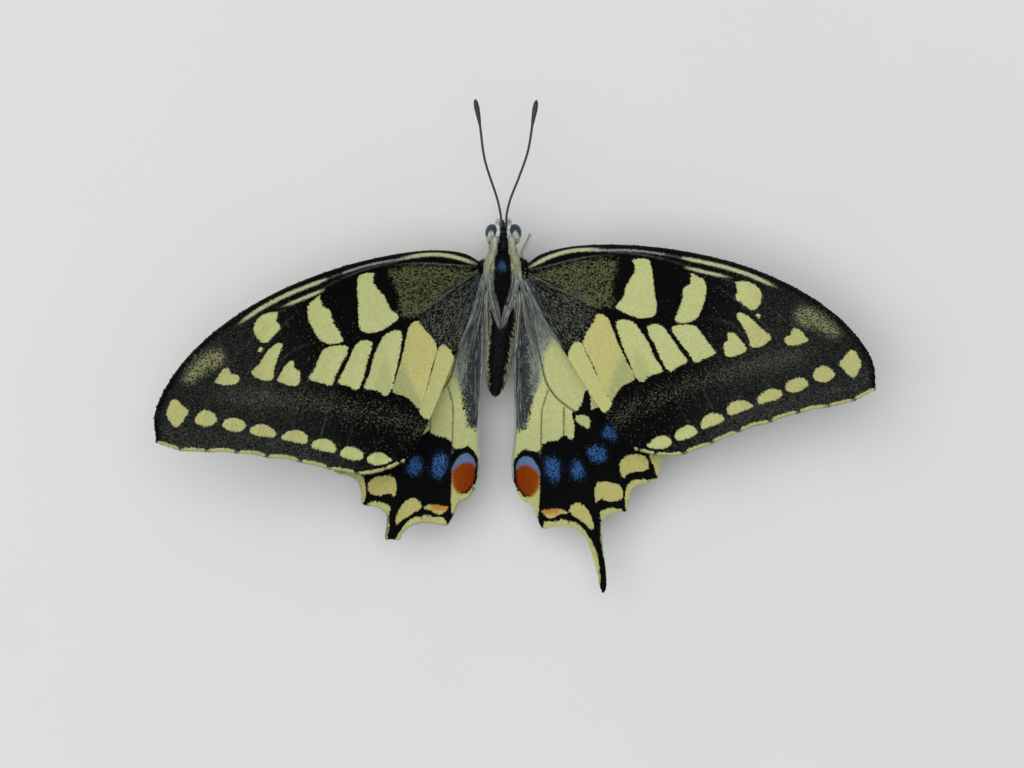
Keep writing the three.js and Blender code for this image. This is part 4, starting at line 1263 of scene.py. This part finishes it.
def tail_roots():
    """The same round the tail, where the hairs point away from its middle line and backwards."""
    base, out = fringe_roots(np.vstack([tail_outer, tail_inner[::-1]]), outline_of(HIND).mean(0))
    centre = np.interp(-base[:, 1], -tail_inner[:, 1], (tail_inner[:, 0] + tail_outer[:, 0]) / 2)
    return base, np.stack([np.sign(base[:, 0] - centre), -0.5 + 0 * centre], 1)


for number, (name, (shape, marks, pose)) in enumerate(made_wings.items()):
    rng = np.random.default_rng(60 + number)
    rows = [fringe_roots(rim_of(shape, 8), outline_of(shape).mean(0))]
    if name == "hindwing_R":
        rows.append(tail_roots())
    base, out = (np.concatenate(v) for v in zip(*rows))
    out = unit(out + rng.normal(0, 0.18, out.shape))
    start = base - out * rng.uniform(0.12, 0.3, len(base))[:, None]
    reach = rng.uniform(0.24, 0.42, len(base)) * (0.6 if name == "hindwing_R" else 1)
    flat = start[:, None] + (out * reach[:, None])[:, None] * np.array([0, 0.5, 1.0])[None, :, None]
    level = relief(shape, start[:, 0], start[:, 1])[:, None] + rng.uniform(-0.04, 0.05, (len(base), 1))
    lines = np.concatenate([flat, np.broadcast_to(level[..., None], flat.shape[:2] + (1,))], axis=2)
    inside = base - out * 0.22
    layers = chosen(marks(inside[:, 0], inside[:, 1], False), rng)
    layers["grain"] = rng.random(len(base))
    width = rng.uniform(6e-5, 9e-5, len(base))
    coat(f"{name}_fringe", hinged(lines, pose), UP, width, layers, base, scale_finish, "wing_scales")

# ---- long hair on the wings ----
# Long silky hairs cover the wing roots and the hindwings' inner edges.  They lie back along the wing
# in loose strands, pale grey over a dark ground.
SILK_DARK, SILK_PALE = (0.018, 0.025, 0.034, 1), (0.66, 0.71, 0.66, 1)
HAIR_POINTS = 4
HALF_STRANDS = 3.5


def silk_paint(tree):
    return {"Base Color": mix(value_of(tree, "pale"), SILK_DARK, SILK_PALE)}


def lock(path, count, spread, reach, rng, dull=0.45):
    """Hairs that follow a path: each starts somewhere along it and runs on for part of it.  Hairs of
    one strand share a brightness, the least of them `dull`.  Hairs towards the lock's sides are darker
    and those along its middle lighter: painted shade and highlight of the rounded lock."""
    line = spaced(catmull(path, 12), 120)
    whole = np.linalg.norm(np.diff(line, axis=0), axis=1).sum()
    run = rng.uniform(0.45, 1.15, count) * reach / whole
    start = rng.random(count) ** 1.35 * np.maximum(1.02 - run, 0.05)
    at = np.clip(start[:, None] + run[:, None] * np.linspace(0, 1, HAIR_POINTS), 0, 1)
    flow = unit(np.gradient(line[:, :2], axis=0))
    across = sampled(np.stack([flow[:, 1], -flow[:, 0]], 1), at)
    own = rng.uniform(-1, 1, count)
    strand = np.round(own * HALF_STRANDS)
    drawn_to = strand / HALF_STRANDS + rng.normal(0, 0.05, count)
    share = np.linspace(0, 0.75, HAIR_POINTS)
    off = own[:, None] * (1 - share) + drawn_to[:, None] * share + rng.normal(0, 0.1, count)[:, None] * share
    wide = np.interp(at, np.linspace(0, 1, len(spread)), spread)
    centre = sampled(line, at)
    centre[:, :, :2] += across * (off * wide / 2)[..., None]
    sheen = rng.uniform(dull, 1, 9)[strand.astype(int) + 4]
    # Darker towards the lock's sides, lighter along its middle: painted shade and highlight of the rounded
    # lock.
    return centre, start, sheen * (1 - 0.45 * own**2)


WING_LOCKS = {
    "fore": [
        {"path": [(0.2, -1.3), (2.2, -3.3), (3.9, -4.95), (6.8, -7.1)], "count": 420,
         "spread": (0.5, 0.4, 0.2), "reach": 1.7, "pale": 0.8},
        {"path": [(0.3, -1.1), (2.0, -2.6), (3.8, -4.2), (6.0, -5.9)], "count": 260,
         "spread": (0.9, 1.9, 2.6), "reach": 1.1, "pale": 0.3},
        {"path": [(0.4, -0.7), (2.5, -1.0), (4.5, -1.3), (7.0, -1.6)], "count": 120,
         "spread": (0.4, 1.2, 1.9), "reach": 1.0, "pale": 0.3},
    ],
    "hind": [
        {"path": [(0.0, -0.9), (0.35, -3.3), (0.8, -5.2), (1.1, -7.6), (1.2, -10.2), (1.1, -12.0)],
         "count": 330, "spread": (0.8, 1.1, 1.3, 0.8), "reach": 1.1, "pale": 0.75},
        {"path": [(-0.2, -0.6), (-0.25, -4), (-0.3, -7), (-0.3, -10), (-0.3, -13), (-0.3, -15.8)],
         "count": 1500, "spread": (0.9, 0.85, 0.8, 0.45), "reach": 2.0, "pale": 0.3},
        {"path": [(-0.5, -1.5), (-0.62, -5), (-0.8, -9), (-0.75, -13), (-0.8, -16.5), (-1.1, -19.5),
                  (-1.0, -21.3)],
         "count": 1100, "spread": (0.3, 0.22, 0.25), "reach": 1.3, "pale": 0.95},
        {"path": [(0.6, -1.6), (1.2, -3.4), (1.7, -5.0), (2.2, -6.4)], "count": 140,
         "spread": (1.0, 1.2, 0.9), "reach": 1.0, "pale": 0.8},
    ],
}
silk = finish_of("silk", silk_paint, Roughness=0.5, Specular_IOR_Level=0.15)
for number, (name, (shape, marks, pose)) in enumerate(made_wings.items()):
    rng = np.random.default_rng(70 + number)
    rows, shades, roots = [], [], []
    for tress in WING_LOCKS[name[:4]]:
        count = tress["count"]
        centre, start, sheen = lock(tress["path"], count, tress["spread"], tress["reach"], rng)
        level = relief(shape, centre[..., 0], centre[..., 1]) + 0.07 + rng.uniform(0, 0.22, (count, 1))
        level[:, 0] -= 0.12
        shade = np.where(rng.random(count) < tress["pale"], rng.uniform(0.4, 1, count) * sheen, 0.03)
        if tress["pale"] > 0.9:
            shade = shade + (0.8 - shade) * smoothstep(-11, -15, centre[:, 0, 1])
        rows.append(np.concatenate([centre, level[..., None]], 2))
        shades.append(shade)
        roots.append(centre[:, 0])
    lines, shade, root = (np.concatenate(v) for v in (rows, shades, roots))
    width = rng.uniform(2.6e-5, 4.4e-5, len(shade))
    coat(f"{name}_hair", hinged(lines, pose), UP, width, {"pale": shade}, root, silk, "wing_scales")

# ---- long hair of the back ----
# From the shoulders long hairs run back over the wing roots, cream at first and then grey, and two
# grey bands close to a point over the waist.
BACK_LOCKS = {
    "right": [
        {"path": [(0.94, 3.45, 8.0), (1.0, 1.9, 8.4), (1.42, 0.6, 8.6), (1.72, -0.6, 8.4), (1.95, -1.7, 8.2),
                  (2.2, -2.8, 8.1)],
         "count": 1200, "spread": (0.75, 0.6, 0.95, 0.65, 0.4, 0.25), "reach": 1.5, "cream": 0.9},
        {"path": [(1.9, -1.2, 8.3), (2.2, -2.6, 8.3), (2.75, -3.5, 8.3), (3.25, -4.8, 8.2), (3.8, -5.8, 8.0)],
         "count": 260, "spread": (0.4, 0.6, 0.7), "reach": 1.7, "cream": 0.0},
        {"path": [(2.0, -2.4, 8.2), (2.3, -4.6, 8.0), (2.9, -7.2, 7.8), (3.6, -9.9, 7.6)],
         "count": 170, "spread": (0.4, 0.8, 0.9), "reach": 1.9, "cream": 0.0},
        {"path": [(1.2, -0.2, 8.4), (1.25, -1.5, 8.4), (1.05, -2.8, 8.3), (0.65, -4.1, 8.0), (0.2, -5.5, 7.8),
                  (-0.15, -6.9, 7.6)],
         "count": 430, "spread": (0.5, 0.85, 1.0, 0.85, 0.6), "reach": 1.6, "cream": 0.1},
        {"path": [(1.7, -2.5, 8.0), (1.75, -4.2, 7.7), (1.6, -6.0, 7.2), (1.45, -8.0, 6.9),
                  (1.3, -10.0, 6.6)],
         "count": 500, "spread": (0.6, 0.6, 0.4), "reach": 2.0, "cream": 0.3},
    ],
    "left": [
        {"path": [(-1.0, 3.45, 8.0), (-1.1, 1.9, 8.4), (-1.58, 0.6, 8.6), (-1.88, -0.6, 8.4),
                  (-2.1, -1.8, 8.2), (-2.45, -3.2, 8.1)],
         "count": 1200, "spread": (0.75, 0.6, 1.0, 0.7, 0.45, 0.3), "reach": 1.5, "cream": 0.9},
        {"path": [(-2.1, -1.0, 8.3), (-2.35, -2.6, 8.3), (-2.7, -4.0, 8.3), (-3.1, -5.3, 8.2),
                  (-3.6, -6.6, 8.0)],
         "count": 260, "spread": (0.4, 0.6, 0.7), "reach": 1.7, "cream": 0.0},
        {"path": [(-2.2, -2.4, 8.2), (-2.6, -4.6, 8.0), (-3.2, -7.2, 7.8), (-3.8, -9.9, 7.6)],
         "count": 170, "spread": (0.4, 0.8, 0.9), "reach": 1.9, "cream": 0.0},
        {"path": [(-1.3, -0.2, 8.4), (-1.45, -1.5, 8.4), (-1.35, -2.8, 8.3), (-1.0, -4.1, 8.0),
                  (-0.65, -5.5, 7.8), (-0.25, -6.9, 7.6)],
         "count": 430, "spread": (0.5, 0.85, 1.0, 0.8, 0.6), "reach": 1.6, "cream": 0.1},
        {"path": [(-1.9, -2.5, 8.0), (-1.95, -4.2, 7.7), (-1.9, -6.0, 7.2), (-1.85, -8.0, 6.9),
                  (-1.8, -10.0, 6.6)],
         "count": 500, "spread": (0.6, 0.6, 0.4), "reach": 2.0, "cream": 0.3},
    ],
}
BACK_SEEDS = {"right": 81, "left": 79}
ground = BVHTree.FromPolygons(*joined([(in_frame(trunk_points), trunk_faces), *wing_sheets]))


def resting(lines, gap):
    """Lines in body millimetres, lifted where they would sink into the skin or a wing."""
    for i, row in enumerate(in_frame(lines)):
        for k, (x, y, z) in enumerate(row):
            hit = ground.ray_cast((x, y, 0.02), (0, 0, -1))[0]
            if hit is not None:
                lines[i, k, 2] = max(lines[i, k, 2], hit[2] * 1000 + gap[i])
    return lines


for half, tresses in BACK_LOCKS.items():
    rng = np.random.default_rng(BACK_SEEDS[half])
    rows, tints, sheens = [], [], []
    for tress in tresses:
        count, creamy = tress["count"], tress["cream"] > 0.5
        centre, start, sheen = lock(tress["path"], count, tress["spread"], tress["reach"], rng,
                                    dull=0.8 if creamy else 0.3)
        centre = resting(centre, rng.uniform(0.04, 0.3, count))
        centre[:, :, 2] += np.linspace(-0.1, 0.0, HAIR_POINTS)
        cream = tress["cream"] * (1 - smoothstep(0.4, 0.75, start)) * smoothstep(-0.06, 0.14, start)
        rows.append(centre)
        tints.append(np.where(rng.random(count) < cream, 1.0, 0.0))
        bright = rng.uniform(0.85 if creamy else 0.45, 1.0, count) * sheen
        sheens.append(bright * (rng.random(count) > 0.06))
    lines, tint, bright = (np.concatenate(v) for v in (rows, tints, sheens))
    layers = {"cream": tint * bright, "grey": (1 - tint) * bright, "blue": 0 * tint,
              "grain": rng.random(len(tint))}
    width = rng.uniform(3e-5, 5e-5, len(tint))
    coat(f"long_hair_{half}", in_frame(lines), UP, width, layers, unrolled(lines[:, 0]), hair_finish,
         "body_hair")

# ---- floor, light and camera ----
# A plain pale table top under soft daylight, which comes from one wide panel overhead and from the
# sky all round.  The camera looks down on the back from nearly straight above.


def floor_paint(tree):
    return {"Base Color": mix(noise(tree, 40, 4), (0.66, 0.65, 0.63, 1), (0.69, 0.68, 0.66, 1))}


bpy.ops.mesh.primitive_plane_add(size=3)
floor = bpy.context.object
floor.name = "floor"
floor.data.materials.append(finish_of("floor", floor_paint, Roughness=0.8))

scene = bpy.context.scene
sky = bpy.data.worlds.new("daylight")
sky.use_nodes = True
sky.node_tree.nodes["Background"].inputs["Color"].default_value = (0.86, 0.93, 1.0, 1)
sky.node_tree.nodes["Background"].inputs["Strength"].default_value = 0.5
scene.world = sky

panel_light = bpy.data.lights.new("panel", "AREA")
panel_light.size, panel_light.energy = 1.0, 7.1
panel = bpy.data.objects.new("panel", panel_light)
panel.location = (-0.22, 0.08, 0.86)
panel.rotation_mode = "QUATERNION"
panel.rotation_quaternion = (-panel.location).to_track_quat("-Z", "Y")
scene.collection.objects.link(panel)

camera_data = bpy.data.cameras.new("camera")
camera_data.sensor_width, camera_data.lens = 36.0, 125.0
camera_data.clip_start, camera_data.clip_end = 0.01, 10.0
camera = bpy.data.objects.new("camera", camera_data)
camera.location = (-0.00060, -0.00421, 0.400)
scene.collection.objects.link(camera)
scene.camera = camera
scene.view_settings.view_transform = "Standard"
